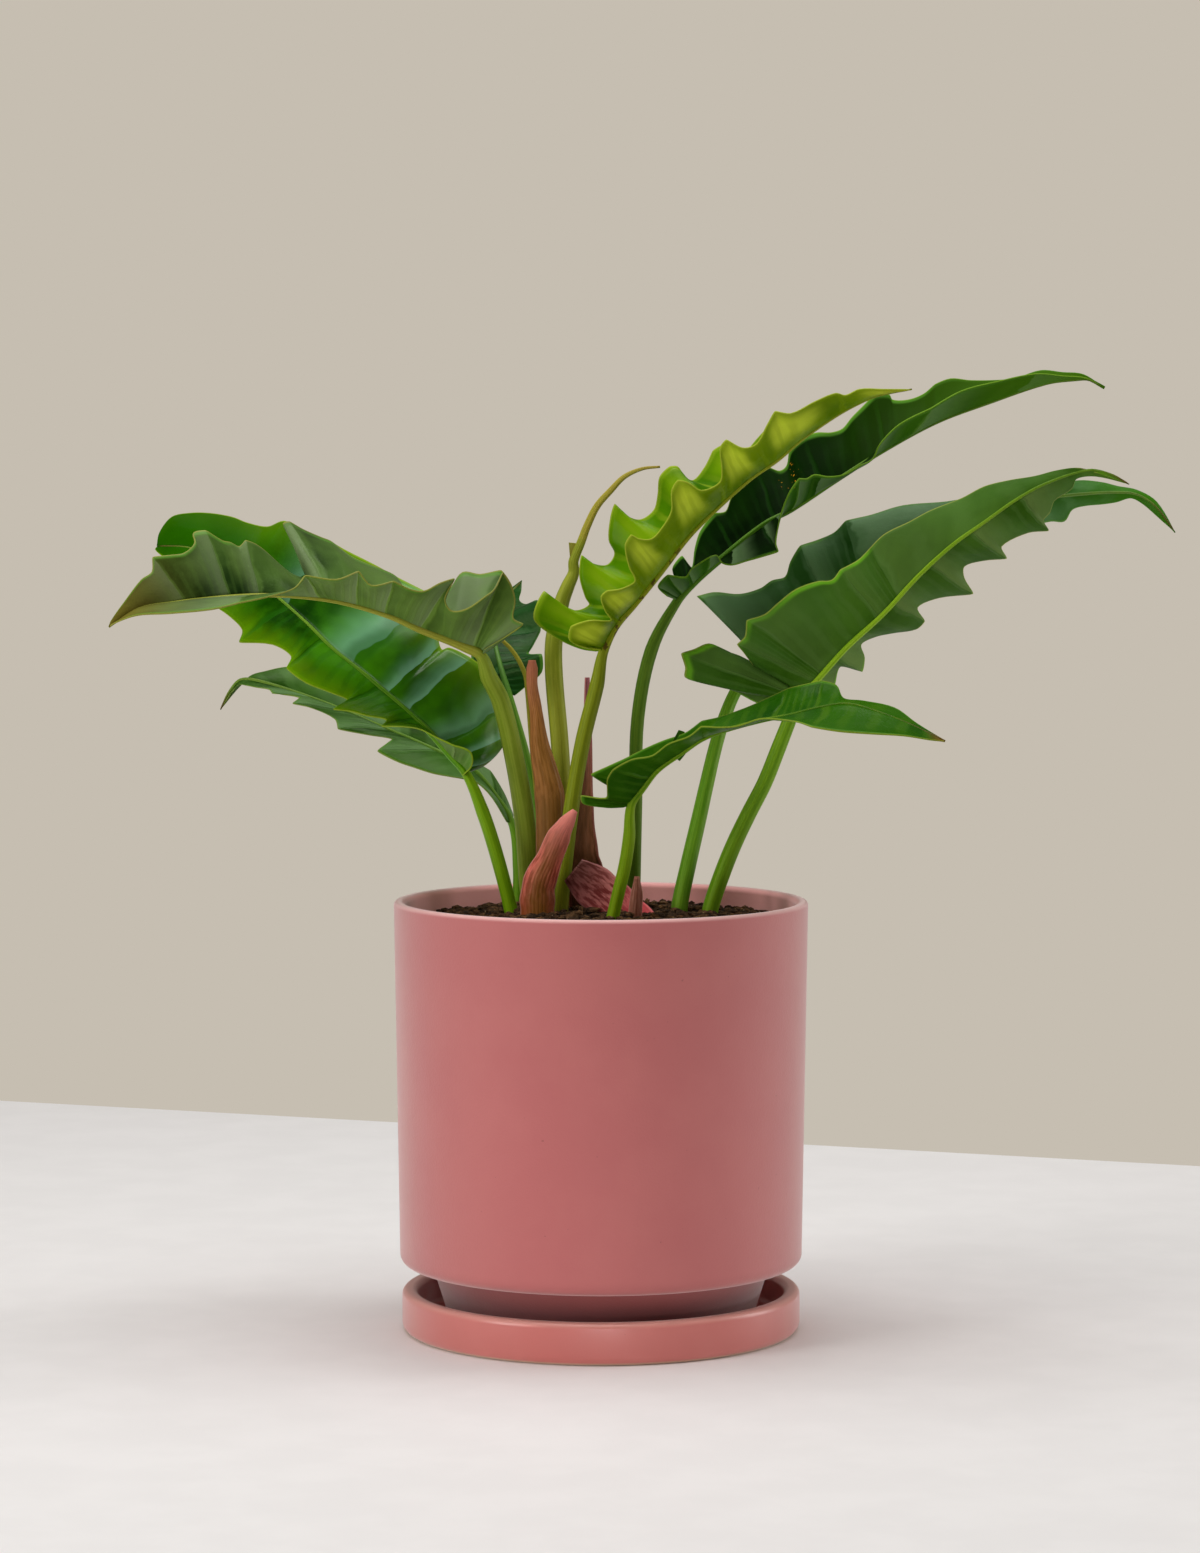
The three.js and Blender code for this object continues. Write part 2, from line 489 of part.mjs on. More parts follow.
// A thin sheet around a grid of points, split into like triangles on both faces.
// facing(i, j) is the sheet's normal at a grid point.
function sheetGeometry(grid, thickness, facing) {
  const columns = grid.length - 1;
  const rows = grid[0].length - 1;
  const faces = [1, -1].map((side) => {
    const g = new THREE.PlaneGeometry(1, 1, columns, rows);
    const position = g.attributes.position;
    for (let k = 0; k < position.count; k++) {
      const i = k % (columns + 1);
      const j = Math.floor(k / (columns + 1));
      const p = grid[i][j].clone().addScaledVector(facing(i, j), side * thickness / 2);
      position.setXYZ(k, p.x, p.y, p.z);
    }
    if (side > 0) return g;
    const index = g.index.array;
    for (let t = 0; t < index.length; t += 3) [index[t + 1], index[t + 2]] = [index[t + 2], index[t + 1]];
    return g;
  });
  const rim = [];
  for (let i = 0; i < columns; i++) rim.push([i, i + 1]);
  for (let j = 0; j < rows; j++) rim.push([j * (columns + 1) + columns, (j + 1) * (columns + 1) + columns]);
  for (let i = columns; i > 0; i--) rim.push([rows * (columns + 1) + i, rows * (columns + 1) + i - 1]);
  for (let j = rows; j > 0; j--) rim.push([j * (columns + 1), (j - 1) * (columns + 1)]);
  const joined = mergeGeometries(faces);
  const back = (columns + 1) * (rows + 1);
  const index = [...joined.index.array];
  for (const [a, b] of rim) index.push(a, b, b + back, a, b + back, a + back);
  joined.setIndex(index);
  return joined;
}

// One small three-cornered plate of a blade: its corners carried out to both faces
function plateSolid(corners) {
  const points = corners.flatMap(({ p, n, t }) => [
    p.clone().addScaledVector(n, t / 2), p.clone().addScaledVector(n, -t / 2)]);
  return solid(new ConvexGeometry(points));
}

// Half a leaf blade, from the midrib out to its own lobed margin, as joined three-cornered plates.
// Each margin row is the distance along the midrib where its side vein starts, then the margin
// point [x, y, z]. Every quarter is split along its shorter diagonal.
function halfBladeSolid(spine, margin, cup, thickness) {
  const midrib = new THREE.CatmullRomCurve3(spine.map(vec), false, 'centripetal');
  const legs = spine.slice(1).map((p, k) => vec(p).distanceTo(vec(spine[k])));
  const length = legs.reduce((sum, leg) => sum + leg, 0);
  const starts = margin.map(([foot]) => midrib.getPointAt(Math.min(foot / length, 0.995)));
  const edges = margin.map(([, ...edge]) => vec(edge));
  const middles = starts.map((p, i) => p.clone().lerp(edges[i], 0.5));
  const last = margin.length - 1;
  const raw = middles.map((_, i) => between(middles, i, 0, last)
    .cross(new THREE.Vector3().subVectors(edges[i], starts[i])).normalize());
  const facing = raw.map((n, i) => n.clone().multiplyScalar(2)
    .add(raw[Math.max(i - 1, 0)]).add(raw[Math.min(i + 1, last)]).normalize());
  const grid = middles.map((p, i) => {
    const bulge = cup * starts[i].distanceTo(edges[i]);
    const bent = p.clone().addScaledVector(facing[i], bulge);
    return [starts[i], bent, edges[i]].map((q) => ({ p: q, n: facing[i], t: thickness }));
  });
  const plates = [];
  for (let i = 0; i < last; i++) {
    for (let j = 0; j < 2; j++) {
      const [a, b, c, d] = [grid[i][j], grid[i + 1][j], grid[i + 1][j + 1], grid[i][j + 1]];
      const straight = a.p.distanceTo(c.p) < b.p.distanceTo(d.p);
      const pair = straight ? [[a, b, c], [a, c, d]] : [[a, b, d], [b, c, d]];
      plates.push(...pair.map(plateSolid));
    }
  }
  return plates.reduce((sum, plate) => sum.add(plate));
}

function leafSolid(leaf) {
  const ribEnd = 0.8;
  const last = leaf.spine.length - 1;
  const rib = leaf.spine.map((p, k) => [...p, lerp(leaf.ribRadius, ribEnd, Math.sqrt(k / last))]);
  const stem = solid(stemGeometry(rooted([...leaf.petiole, ...rib])));
  const near = halfBladeSolid(leaf.spine, leaf.near, bladeCup, bladeThickness);
  const far = halfBladeSolid(leaf.spine, leaf.far, -bladeCup, bladeThickness * 1.06);
  return stem.add(near).add(far);
}

function sheathGeometry({ line, wrap, face }, thickness, grow = 0) {
  const half = THREE.MathUtils.degToRad(wrap / 2);
  const front = new THREE.Vector3(face[0], face[1], 0);
  const middle = line.map(vec);
  const last = middle.length - 1;
  const grid = middle.map((p, i) => {
    const side = between(middle, i, 0, last).cross(front).normalize();
    const radius = line[i][3] / Math.sin(half);
    const spread = half * (1 + grow / line[i][3]);
    return [-1, -0.5, 0, 0.5, 1].map((v) => p.clone()
      .addScaledVector(side, radius * Math.sin(v * spread))
      .addScaledVector(front, radius * (Math.cos(v * spread) - 1)));
  });
  return sheetGeometry(grid, thickness, (i, j) => {
    const along = between(grid.map((row) => row[j]), i, 0, last);
    return along.cross(between(grid[i], j, 0, 4)).normalize();
  });
}

function rootedSheath(sheath, extra = 0) {
  const [first, second] = sheath.line;
  const steps = (buryDepth + extra) / (second[2] - first[2]);
  const down = first.map((value, k) => (k < 3 ? value - (second[k] - value) * steps : value));
  return { ...sheath, line: [down, ...sheath.line] };
}

function lathe(profile, segments = roundSegments) {
  const points = [...profile, profile[0]].map(([r, z]) => new THREE.Vector2(r, z));
  const g = new THREE.LatheGeometry(points, segments);
  g.rotateX(Math.PI / 2);
  return g;
}

// A quarter or half round between two angles in degrees, as profile points
function arc(r, z, radius, from, to, steps) {
  return Array.from({ length: steps + 1 }, (_, k) => {
    const a = THREE.MathUtils.degToRad(lerp(from, to, k / steps));
    return [r + radius * Math.cos(a), z + radius * Math.sin(a)];
  });
}

const footBottom = saucerFloor + fitGap;
const potBottomInside = footBottom + potFloor;
const potInnerTop = potRimRadius - potWall;
const potInnerHeel = potHeelRadius - potWall;
const footInner = footBaseRadius - potWall;
const innerStep = potHeelHeight + potFloor;

function potProfile() {
  const lip = potWall / 2;
  return [
    [drainRadius, footBottom],
    [footBaseRadius - 2, footBottom],
    [footBaseRadius, footBottom + 2],
    [footTopRadius, potHeelHeight],
    ...arc(potHeelRadius - potHeelRound, potHeelHeight + potHeelRound, potHeelRound, -90, 0, 3),
    ...arc(potRimRadius - lip, potRimHeight - lip, lip, 0, 180, 4),
    [potInnerHeel, innerStep + 4],
    [potInnerHeel - 4, innerStep],
    [footTopRadius - potWall, innerStep],
    [footInner, potBottomInside],
    [drainRadius, potBottomInside],
  ];
}

function saucerProfile() {
  const lip = saucerWall / 2;
  return [
    [0, 0],
    [saucerBaseRadius, 0],
    [saucerRadius, 2.5],
    ...arc(saucerRadius - lip, saucerHeight - lip, lip, 0, 180, 4),
    [saucerRadius - saucerWall - 0.4, saucerFloor + 3],
    [saucerRadius - saucerWall - 3, saucerFloor],
    [0, saucerFloor],
  ];
}

// Soil filling the pot: a low mound with lumps, out to the wall
function soilGeometry() {
  const gap = fitGap;
  const rings = 6;
  const level = (soilEdgeHeight - innerStep) / (potRimHeight - innerStep);
  const edge = lerp(potInnerHeel, potInnerTop, level) - gap;
  const top = Array.from({ length: rings }, (_, k) => {
    const r = edge * (1 - k / rings);
    return [r, lerp(soilCentreHeight, soilEdgeHeight, (r / edge) ** 2)];
  });
  const g = lathe([
    [0, potBottomInside + gap],
    [footInner - gap, potBottomInside + gap],
    [footTopRadius - potWall - gap, innerStep + gap],
    [potInnerHeel - 4 - gap, innerStep + gap],
    [potInnerHeel - gap, innerStep + 4 + gap],
    ...top,
    [0, soilCentreHeight],
  ], roundSegments / 2);
  const position = g.attributes.position;
  for (let i = 0; i < position.count; i++) {
    const [x, y, z] = [position.getX(i), position.getY(i), position.getZ(i)];
    const r = Math.hypot(x, y);
    if (z < soilEdgeHeight - 1 || r > edge - 2 || r < 1) continue;
    const lump = Math.sin(x * 0.31 + 1.3) * Math.cos(y * 0.37) + Math.sin(x * 0.83 - y * 0.61);
    position.setZ(i, z + soilLump * lump / 2);
  }
  return g;
}

function mesh(name, geometry, colour) {
  const [tint, roughness] = colours[colour];
  const material = new THREE.MeshStandardMaterial({ color: tint, roughness, metalness: 0 });
  const part = new THREE.Mesh(geometry, material);
  part.name = name;
  return part;
}

const plant = new THREE.Group();
let soil = solid(soilGeometry());

for (const [name, leaf] of Object.entries(leaves)) {
  const lower = [...leaf.petiole, [...leaf.spine[0], leaf.ribRadius]].slice(0, 4);
  soil = soil.subtract(solid(stemGeometry(rooted(lower, fitGap), fitGap)));
  plant.add(mesh(name, mainPiece(solidGeometry(leafSolid(leaf))), leafColours[name]));
}
for (const [name, points] of Object.entries(stalks)) {
  soil = soil.subtract(solid(stemGeometry(rooted(points.slice(0, 3), fitGap), fitGap)));
  const colour = name === 'spear_rolled_leaf' ? 'leafLime' : 'stalkYellow';
  plant.add(mesh(name, solidGeometry(solid(stemGeometry(rooted(points)))), colour));
}
for (const [name, sheath] of Object.entries(sheaths)) {
  const slot = sheathGeometry(rootedSheath(sheath, fitGap), sheathThickness + 2 * slotGap, slotGap);
  soil = soil.subtract(solid(slot));
  const standing = solid(sheathGeometry(rootedSheath(sheath), sheathThickness));
  plant.add(mesh(name, solidGeometry(standing), sheathColours[name]));
}

plant.add(mesh('soil', solidGeometry(soil), 'soil'));
plant.add(mesh('pot', welded(lathe(potProfile())), 'pot'));
plant.add(mesh('saucer', solidGeometry(solid(lathe(saucerProfile()))), 'saucer'));

export default plant;
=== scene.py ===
import math
import bpy
import bmesh
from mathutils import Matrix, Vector, noise


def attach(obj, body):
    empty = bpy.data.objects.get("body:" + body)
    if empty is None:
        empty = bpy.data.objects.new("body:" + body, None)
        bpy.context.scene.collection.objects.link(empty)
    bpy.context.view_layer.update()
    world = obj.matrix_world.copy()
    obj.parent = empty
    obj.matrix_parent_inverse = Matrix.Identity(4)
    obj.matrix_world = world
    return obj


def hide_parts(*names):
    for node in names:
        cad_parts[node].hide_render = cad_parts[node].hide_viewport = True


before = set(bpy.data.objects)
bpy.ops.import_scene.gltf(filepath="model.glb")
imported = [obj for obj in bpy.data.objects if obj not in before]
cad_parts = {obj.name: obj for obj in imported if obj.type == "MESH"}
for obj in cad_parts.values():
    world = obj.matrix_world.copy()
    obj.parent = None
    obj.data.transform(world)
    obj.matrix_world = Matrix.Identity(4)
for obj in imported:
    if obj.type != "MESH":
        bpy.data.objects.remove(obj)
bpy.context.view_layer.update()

# Potted philodendron with toothed arching leaves in a pink pot on its saucer. Metres, +Z up.
# Shape tables are in millimetres, and the colours of surfaces are sRGB hex codes
scene = bpy.context.scene
mm = 0.001
print("frame loaded:", len(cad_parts), "nodes")


def tint(code):
    # sRGB hex to the linear colour a shader wants
    parts = [int(code[i:i + 2], 16) / 255 for i in (0, 2, 4)]
    return tuple(c / 12.92 if c < 0.04045 else ((c + 0.055) / 1.055) ** 2.4 for c in parts) + (1.0,)


def mix(a, b, t):
    return a + (b - a) * t


def pieceName(node):
    first, *others = node.split("_")
    return first + "".join(word.capitalize() for word in others)


def smoothCurve(points, steps, sharp=None, cornerPull=0.35):
    # A smooth line through given points; sharp points keep a small corner
    last = len(points) - 1
    gaps = [max((b - a).length, 1e-6) for a, b in zip(points, points[1:])]
    slopes = []
    for i in range(last + 1):
        a, b = max(i - 1, 0), min(i + 1, last)
        slope = (points[b] - points[a]) / sum(gaps[a:b])
        slopes.append(slope * (cornerPull if sharp and sharp[i] else 1.0))
    line = []
    for i in range(last):
        for k in range(steps):
            t = k / steps
            line.append(points[i] * (2 * t ** 3 - 3 * t ** 2 + 1) + points[i + 1] * (3 * t ** 2 - 2 * t ** 3)
                        + slopes[i] * gaps[i] * (t ** 3 - 2 * t ** 2 + t)
                        + slopes[i + 1] * gaps[i] * (t ** 3 - t ** 2))
    line.append(points[-1].copy())
    return line


def lengthsAlong(line):
    total = [0.0]
    for a, b in zip(line, line[1:]):
        total.append(total[-1] + (b - a).length)
    return total


def pointAt(line, lengths, distance):
    for i in range(len(line) - 1):
        if lengths[i + 1] >= distance:
            return line[i].lerp(line[i + 1], (distance - lengths[i]) / max(lengths[i + 1] - lengths[i], 1e-9))
    return line[-1].copy()


def finishPiece(name, bm, materials, node, standsForNode=True, smooth=True):
    # Turns a bmesh into an object that rides with the plant and stands for its CAD node
    mesh = bpy.data.meshes.new(name)
    bm.to_mesh(mesh)
    bm.free()
    piece = bpy.data.objects.new(name, mesh)
    scene.collection.objects.link(piece)
    for material in materials:
        mesh.materials.append(material)
    mesh.polygons.foreach_set("use_smooth", [smooth] * len(mesh.polygons))
    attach(piece, "root")
    if standsForNode:
        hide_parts(node)
    return piece


def thicken(piece, thickness):
    solid = piece.modifiers.new("thickness", "SOLIDIFY")
    solid.thickness = thickness * mm
    solid.offset = 0
    return solid


def newSheet():
    # An empty bmesh with its UV layer and the value that runs along the piece
    bm = bmesh.new()
    return bm, (bm.loops.layers.uv.new("UVMap"), bm.verts.layers.float.new("along"))


def gridSheet(bm, layers, columns, rows, place, uvAt, alongAt, flip=False):
    # A grid whose vertices are moved to place(i, j)
    uvLayer, alongLayer = layers
    made = bmesh.ops.create_grid(bm, x_segments=columns, y_segments=rows, size=0.5)["verts"]
    spots = {}
    for vert in made:
        i = round((vert.co.x + 0.5) * columns)
        j = round((vert.co.y + 0.5) * rows)
        spots[vert] = (i, j)
        vert.co = place(i, j)
        vert[alongLayer] = alongAt(i, j)
    faces = list({face for vert in made for face in vert.link_faces})
    for face in faces:
        for loop in face.loops:
            loop[uvLayer].uv = uvAt(*spots[loop.vert])
    if flip:
        bmesh.ops.reverse_faces(bm, faces=faces)
    return made, faces


def tubeSheet(bm, layers, line, radii, section, alongAt, sides=20, uvPerMetre=10):
    # A closed tube along a line, its frame carried smoothly from ring to ring
    last = len(line) - 1
    tangents = [(line[min(i + 1, last)] - line[max(i - 1, 0)]).normalized() for i in range(last + 1)]
    across = tangents[0].cross(Vector((0, 1, 0))).normalized()
    frames = []
    for tangent in tangents:
        across = (across - tangent * across.dot(tangent)).normalized()
        frames.append((across.copy(), across.cross(tangent)))
    lengths = lengthsAlong(line)

    def place(i, j):
        angle = 2 * math.pi * i / sides
        r = radii[j] * section(angle, j)
        return line[j] + frames[j][0] * (r * math.cos(angle)) + frames[j][1] * (r * math.sin(angle))

    made, faces = gridSheet(bm, layers, sides, last, place, lambda i, j: (i / sides, lengths[j] * uvPerMetre),
                            lambda i, j: alongAt(j))
    bmesh.ops.remove_doubles(bm, verts=made, dist=1e-6)
    alive = [v for v in made if v.is_valid]
    rims = [e for e in {e for v in alive for e in v.link_edges} if len(e.link_faces) == 1]
    caps = bmesh.ops.holes_fill(bm, edges=rims, sides=0)["faces"]
    bmesh.ops.recalc_face_normals(bm, faces=[f for f in faces if f.is_valid] + caps)


def spinProfile(profile, steps=192):
    # A closed turned solid from (radius, height) points in millimetres
    bm = bmesh.new()
    verts = [bm.verts.new((r * mm, 0, z * mm)) for r, z in profile]
    edges = [bm.edges.new(pair) for pair in zip(verts, verts[1:])]
    if profile[0][0] > 0:
        edges.append(bm.edges.new((verts[-1], verts[0])))
    bmesh.ops.spin(bm, geom=verts + edges, cent=(0, 0, 0), axis=(0, 0, 1), angle=2 * math.pi, steps=steps,
                   use_merge=True)
    bmesh.ops.remove_doubles(bm, verts=bm.verts, dist=1e-6)
    bmesh.ops.dissolve_degenerate(bm, edges=bm.edges, dist=1e-7)
    bmesh.ops.recalc_face_normals(bm, faces=bm.faces)
    return bm


def roundCorner(cx, cz, radius, start, end, steps):
    angles = [math.radians(mix(start, end, k / steps)) for k in range(steps + 1)]
    return [(cx + radius * math.cos(a), cz + radius * math.sin(a)) for a in angles]


def startGroup(name, inputs, outputs):
    # A shader group that gives masks or heights only. An input without a default is a vector.
    group = bpy.data.node_groups.new(name, "ShaderNodeTree")
    for label, value in inputs.items():
        kind = "NodeSocketVector" if value is None else "NodeSocketFloat"
        socket = group.interface.new_socket(name=label, in_out="INPUT", socket_type=kind)
        if value is not None:
            socket.default_value = value
    for label in outputs:
        group.interface.new_socket(name=label, in_out="OUTPUT", socket_type="NodeSocketFloat")
    return group, group.nodes.new("NodeGroupInput").outputs, group.nodes.new("NodeGroupOutput").inputs


def feed(tree, socket, value):
    # A number or colour goes on the socket, and a node's output is linked to it
    if isinstance(value, (int, float, tuple)):
        socket.default_value = value
    else:
        tree.links.new(value, socket)


def addMath(tree, kind, *values):
    node = tree.nodes.new("ShaderNodeMath")
    node.operation = kind
    for socket, value in zip(node.inputs, values):
        feed(tree, socket, value)
    return node.outputs[0]


def times(tree, a, b):
    return addMath(tree, "MULTIPLY", a, b)


def plus(tree, a, b):
    return addMath(tree, "ADD", a, b)


def addRange(tree, value, low, high, outLow=0.0, outHigh=1.0):
    node = tree.nodes.new("ShaderNodeMapRange")
    node.interpolation_type = "SMOOTHSTEP"
    for label, number in (("Value", value), ("From Min", low), ("From Max", high), ("To Min", outLow),
                          ("To Max", outHigh)):
        feed(tree, node.inputs[label], number)
    return node.outputs["Result"]


def addMix(tree, factor, a, b):
    # The colour form of the Mix node has its factor, A and B in these places
    node = tree.nodes.new("ShaderNodeMix")
    node.data_type = "RGBA"
    for place, value in ((0, factor), (6, a), (7, b)):
        feed(tree, node.inputs[place], value)
    return node.outputs[2]


def paint(tree, base, layers):
    # Lays colours over a base, each by its own mask
    for mask, code in layers:
        base = addMix(tree, mask, base, tint(code))
    return base


def addNoise(tree, vector, scale, detail=4.0, roughness=0.55):
    node = tree.nodes.new("ShaderNodeTexNoise")
    for label, value in (("Vector", vector), ("Scale", scale), ("Detail", detail), ("Roughness", roughness)):
        feed(tree, node.inputs[label], value)
    return node.outputs["Fac"]


def splitAxes(tree, vector):
    node = tree.nodes.new("ShaderNodeSeparateXYZ")
    tree.links.new(vector, node.inputs[0])
    return node.outputs


def hypotenuse(tree, a, b):
    return addMath(tree, "SQRT", plus(tree, times(tree, a, a), times(tree, b, b)))


def veinGroup(wander=0.12, mainWidth=0.06, fineWidth=0.28, finePerVein=5.0):
    # UV x counts lateral veins, below zero on the far half, and UV y runs from midrib to margin
    tree, inside, outside = startGroup("leafVeins", {"UV": None, "Folds": 1.0},
                                       ("Main", "Fine", "Edge", "Bulge", "Pleat", "Curl"))
    axes = splitAxes(tree, inside["UV"])
    sway = times(tree, addMath(tree, "SUBTRACT", addNoise(tree, inside["UV"], 2.3, 2.0), 0.5), wander)
    count = plus(tree, axes["X"], sway)

    def lines(value, width):
        fraction = addMath(tree, "FRACT", plus(tree, value, 0.5))
        near = addMath(tree, "ABSOLUTE", addMath(tree, "SUBTRACT", fraction, 0.5))
        return addRange(tree, near, width * 0.3, width, 1.0, 0.0)

    fade = addRange(tree, axes["Y"], 0.55, 1.0, 1.0, 0.25)
    pillow = addMath(tree, "ABSOLUTE", addMath(tree, "SINE", times(tree, count, math.pi)))
    acrossHalf = times(tree, addRange(tree, axes["Y"], 0.1, 0.55),
                       addRange(tree, axes["Y"], 0.7, 1.0, 1.0, 0.3))
    saw = addMath(tree, "FRACT", times(tree, addMath(tree, "ABSOLUTE", count), inside["Folds"]))
    curlPatches = addRange(tree, addNoise(tree, inside["UV"], 0.9, 1.0), 0.42, 0.58)
    # Bulge and Pleat only place painted highlights in a blade's colour: on each bulging part, and in a streak
    # beside each lateral vein
    masks = {
        "Main": times(tree, lines(count, mainWidth), fade),
        "Fine": times(tree, lines(times(tree, count, finePerVein), fineWidth), fade),
        "Edge": addRange(tree, axes["Y"], 0.975, 0.99),
        "Bulge": times(tree, addRange(tree, pillow, 0.45, 1.0), acrossHalf),
        "Pleat": times(tree, addRange(tree, saw, 0.02, 0.75, 1.0, 0.0), addRange(tree, saw, 0.0, 0.02)),
        "Curl": times(tree, addRange(tree, axes["Y"], 0.9, 0.96), curlPatches),
    }
    for label, mask in masks.items():
        tree.links.new(mask, outside[label])
    return tree


def mottleGroup():
    # Patches and grain of three sizes from Object coordinates, each with its scale, detail, low and high
    sizes = {"Broad": (22, 3, 0.35, 0.68), "Small": (130, 4, 0.4, 0.7), "Grain": (900, 2, 0.3, 0.7)}
    tree, inside, outside = startGroup("mottle", {"Place": None}, sizes)
    for label, (scale, detail, low, high) in sizes.items():
        clouds = addNoise(tree, inside["Place"], scale, detail)
        tree.links.new(addRange(tree, clouds, low, high), outside[label])
    return tree


def streakGroup():
    # Long streaks on a stem or sheath: UV x goes round it and UV y along it
    tree, inside, outside = startGroup("streaks", {"UV": None, "Count": 24.0}, ("Streak", "Rib"))
    axes = splitAxes(tree, inside["UV"])
    around = times(tree, axes["X"], inside["Count"])
    join = tree.nodes.new("ShaderNodeCombineXYZ")
    tree.links.new(around, join.inputs["X"])
    tree.links.new(times(tree, axes["Y"], 1.6), join.inputs["Y"])
    tree.links.new(addRange(tree, addNoise(tree, join.outputs[0], 1.0, 3.0), 0.35, 0.65), outside["Streak"])
    rib = addMath(tree, "ABSOLUTE", addMath(tree, "SINE", times(tree, around, math.pi)))
    tree.links.new(rib, outside["Rib"])
    return tree


groups = {"veins": veinGroup(), "mottle": mottleGroup(), "streaks": streakGroup()}


def newMaterial(name, roughness, specular, shineTint=None, coat=0.0, sheen=0.0, coatRoughness=0.22):
    material = bpy.data.materials.new(name)
    material.use_nodes = True
    tree = material.node_tree
    shader = tree.nodes["Principled BSDF"]
    values = {"Roughness": roughness, "Specular IOR Level": specular, "Coat Weight": coat,
              "Coat Roughness": coatRoughness, "Sheen Weight": sheen}
    if shineTint:
        values.update({"Specular Tint": tint(shineTint), "Sheen Tint": tint(shineTint)})
    for label, value in values.items():
        shader.inputs[label].default_value = value
    return material, tree, shader


def coordinates(tree, kind="Object"):
    return tree.nodes.new("ShaderNodeTexCoord").outputs[kind]


def useGroup(tree, name, **values):
    node = tree.nodes.new("ShaderNodeGroup")
    node.node_tree = groups[name]
    for label, value in values.items():
        feed(tree, node.inputs[label], value)
    return node.outputs


def addBump(tree, shader, parts, strength, distance):
    # Parts are masks, each with its weight in the height
    height = None
    for mask, weight in parts:
        part = times(tree, mask, weight)
        height = part if height is None else plus(tree, height, part)
    bump = tree.nodes.new("ShaderNodeBump")
    for label, value in (("Strength", strength), ("Distance", distance), ("Height", height)):
        feed(tree, bump.inputs[label], value)
    tree.links.new(bump.outputs[0], shader.inputs["Normal"])


def alongValue(tree):
    node = tree.nodes.new("ShaderNodeAttribute")
    node.attribute_name = "along"
    return node.outputs["Fac"]


def speckMask(tree, place, spot, reach=0.006):
    # A few small specks around one spot, seen from the front
    axes = splitAxes(tree, place)
    offsets = [addMath(tree, "SUBTRACT", axes[label], middle) for label, middle in zip(("X", "Z"), spot)]
    dots = addRange(tree, addNoise(tree, place, 640, 0.0), 0.74, 0.77)
    return times(tree, dots, addRange(tree, hypotenuse(tree, *offsets), reach, reach + 0.002, 0.9, 0.0))


def bladeMaterial(name, look, face):
    # One face of a leaf blade: mottled greens, painted highlights on the bulges and along the pleats, veins,
    # worn tip, margin
    material, tree, shader = newMaterial(name, look["rough"], look["shine"], look["shineTint"])
    shader.inputs["IOR"].default_value = look["index"]
    place, uv, along = coordinates(tree), coordinates(tree, "UV"), alongValue(tree)
    veins = useGroup(tree, "veins", UV=uv, Folds=look["folds"])
    patches = useGroup(tree, "mottle", Place=place)
    axes = splitAxes(tree, uv)

    def byHalf(far, near):
        return addRange(tree, axes["X"], -0.05, 0.05, far, near)

    def fadeFrom(start, fade, value=1.0):
        return addRange(tree, along, start, start + fade, value, 0.0)

    # Pleats are painted highlight streaks beside each lateral vein, faded out past pleatTo along the blade
    pleats = times(tree, byHalf(look["farPleatHighlight"], look["nearPleatHighlight"]), fadeFrom(look["pleatTo"], 0.15))
    pleats = times(tree, addMath(tree, "POWER", veins["Pleat"], look["pleatSharp"]), pleats)
    layers = [
        (addRange(tree, axes["Y"], 0.35, 1.0, 0.0, look["outerShare"]), look["outer"]),
        (times(tree, patches["Small"], 0.25), look["light"]),
        # painted highlight on the bulging parts between the veins
        (times(tree, veins["Bulge"], look["pillow"]), look["bulge"]),
        (pleats, look.get("pleatHighlightTint", look["light"])),
    ]
    if "specks" in look:
        layers.append((speckMask(tree, place, look["specks"]), look["speckTint"]))
    layers += [
        (times(tree, veins["Fine"], look["fine"]), look["vein"]),
        (times(tree, veins["Main"], look["main"]), look["vein"]),
        (addRange(tree, along, look["tipFrom"], 1.0, 0.0, look["tipShare"]), look["tip"]),
        (times(tree, veins["Curl"], fadeFrom(look["curlTo"], 0.1, look["curl"])), look["curlTint"]),
        (times(tree, veins["Edge"], look["edgeShare"]), look["margin"]),
    ]
    base = addMix(tree, patches["Broad"], tint(look["deep"]), tint(look["light"]))
    tree.links.new(paint(tree, base, layers), shader.inputs["Base Color"])
    rough = plus(tree, times(tree, patches["Small"], 0.12), look["rough"] - 0.04)
    tree.links.new(rough, shader.inputs["Roughness"])
    coat = times(tree, byHalf(look["farCoat"], 0.0), fadeFrom(0.4, 0.3))
    tree.links.new(coat, shader.inputs["Coat Weight"])
    sign = 1.0 if face == "under" else -1.0
    parts = [(veins["Main"], sign * 0.8), (veins["Fine"], sign * 0.25), (patches["Small"], 0.25),
             (patches["Grain"], 0.05)]
    addBump(tree, shader, parts, look["relief"], 0.0006)
    return material


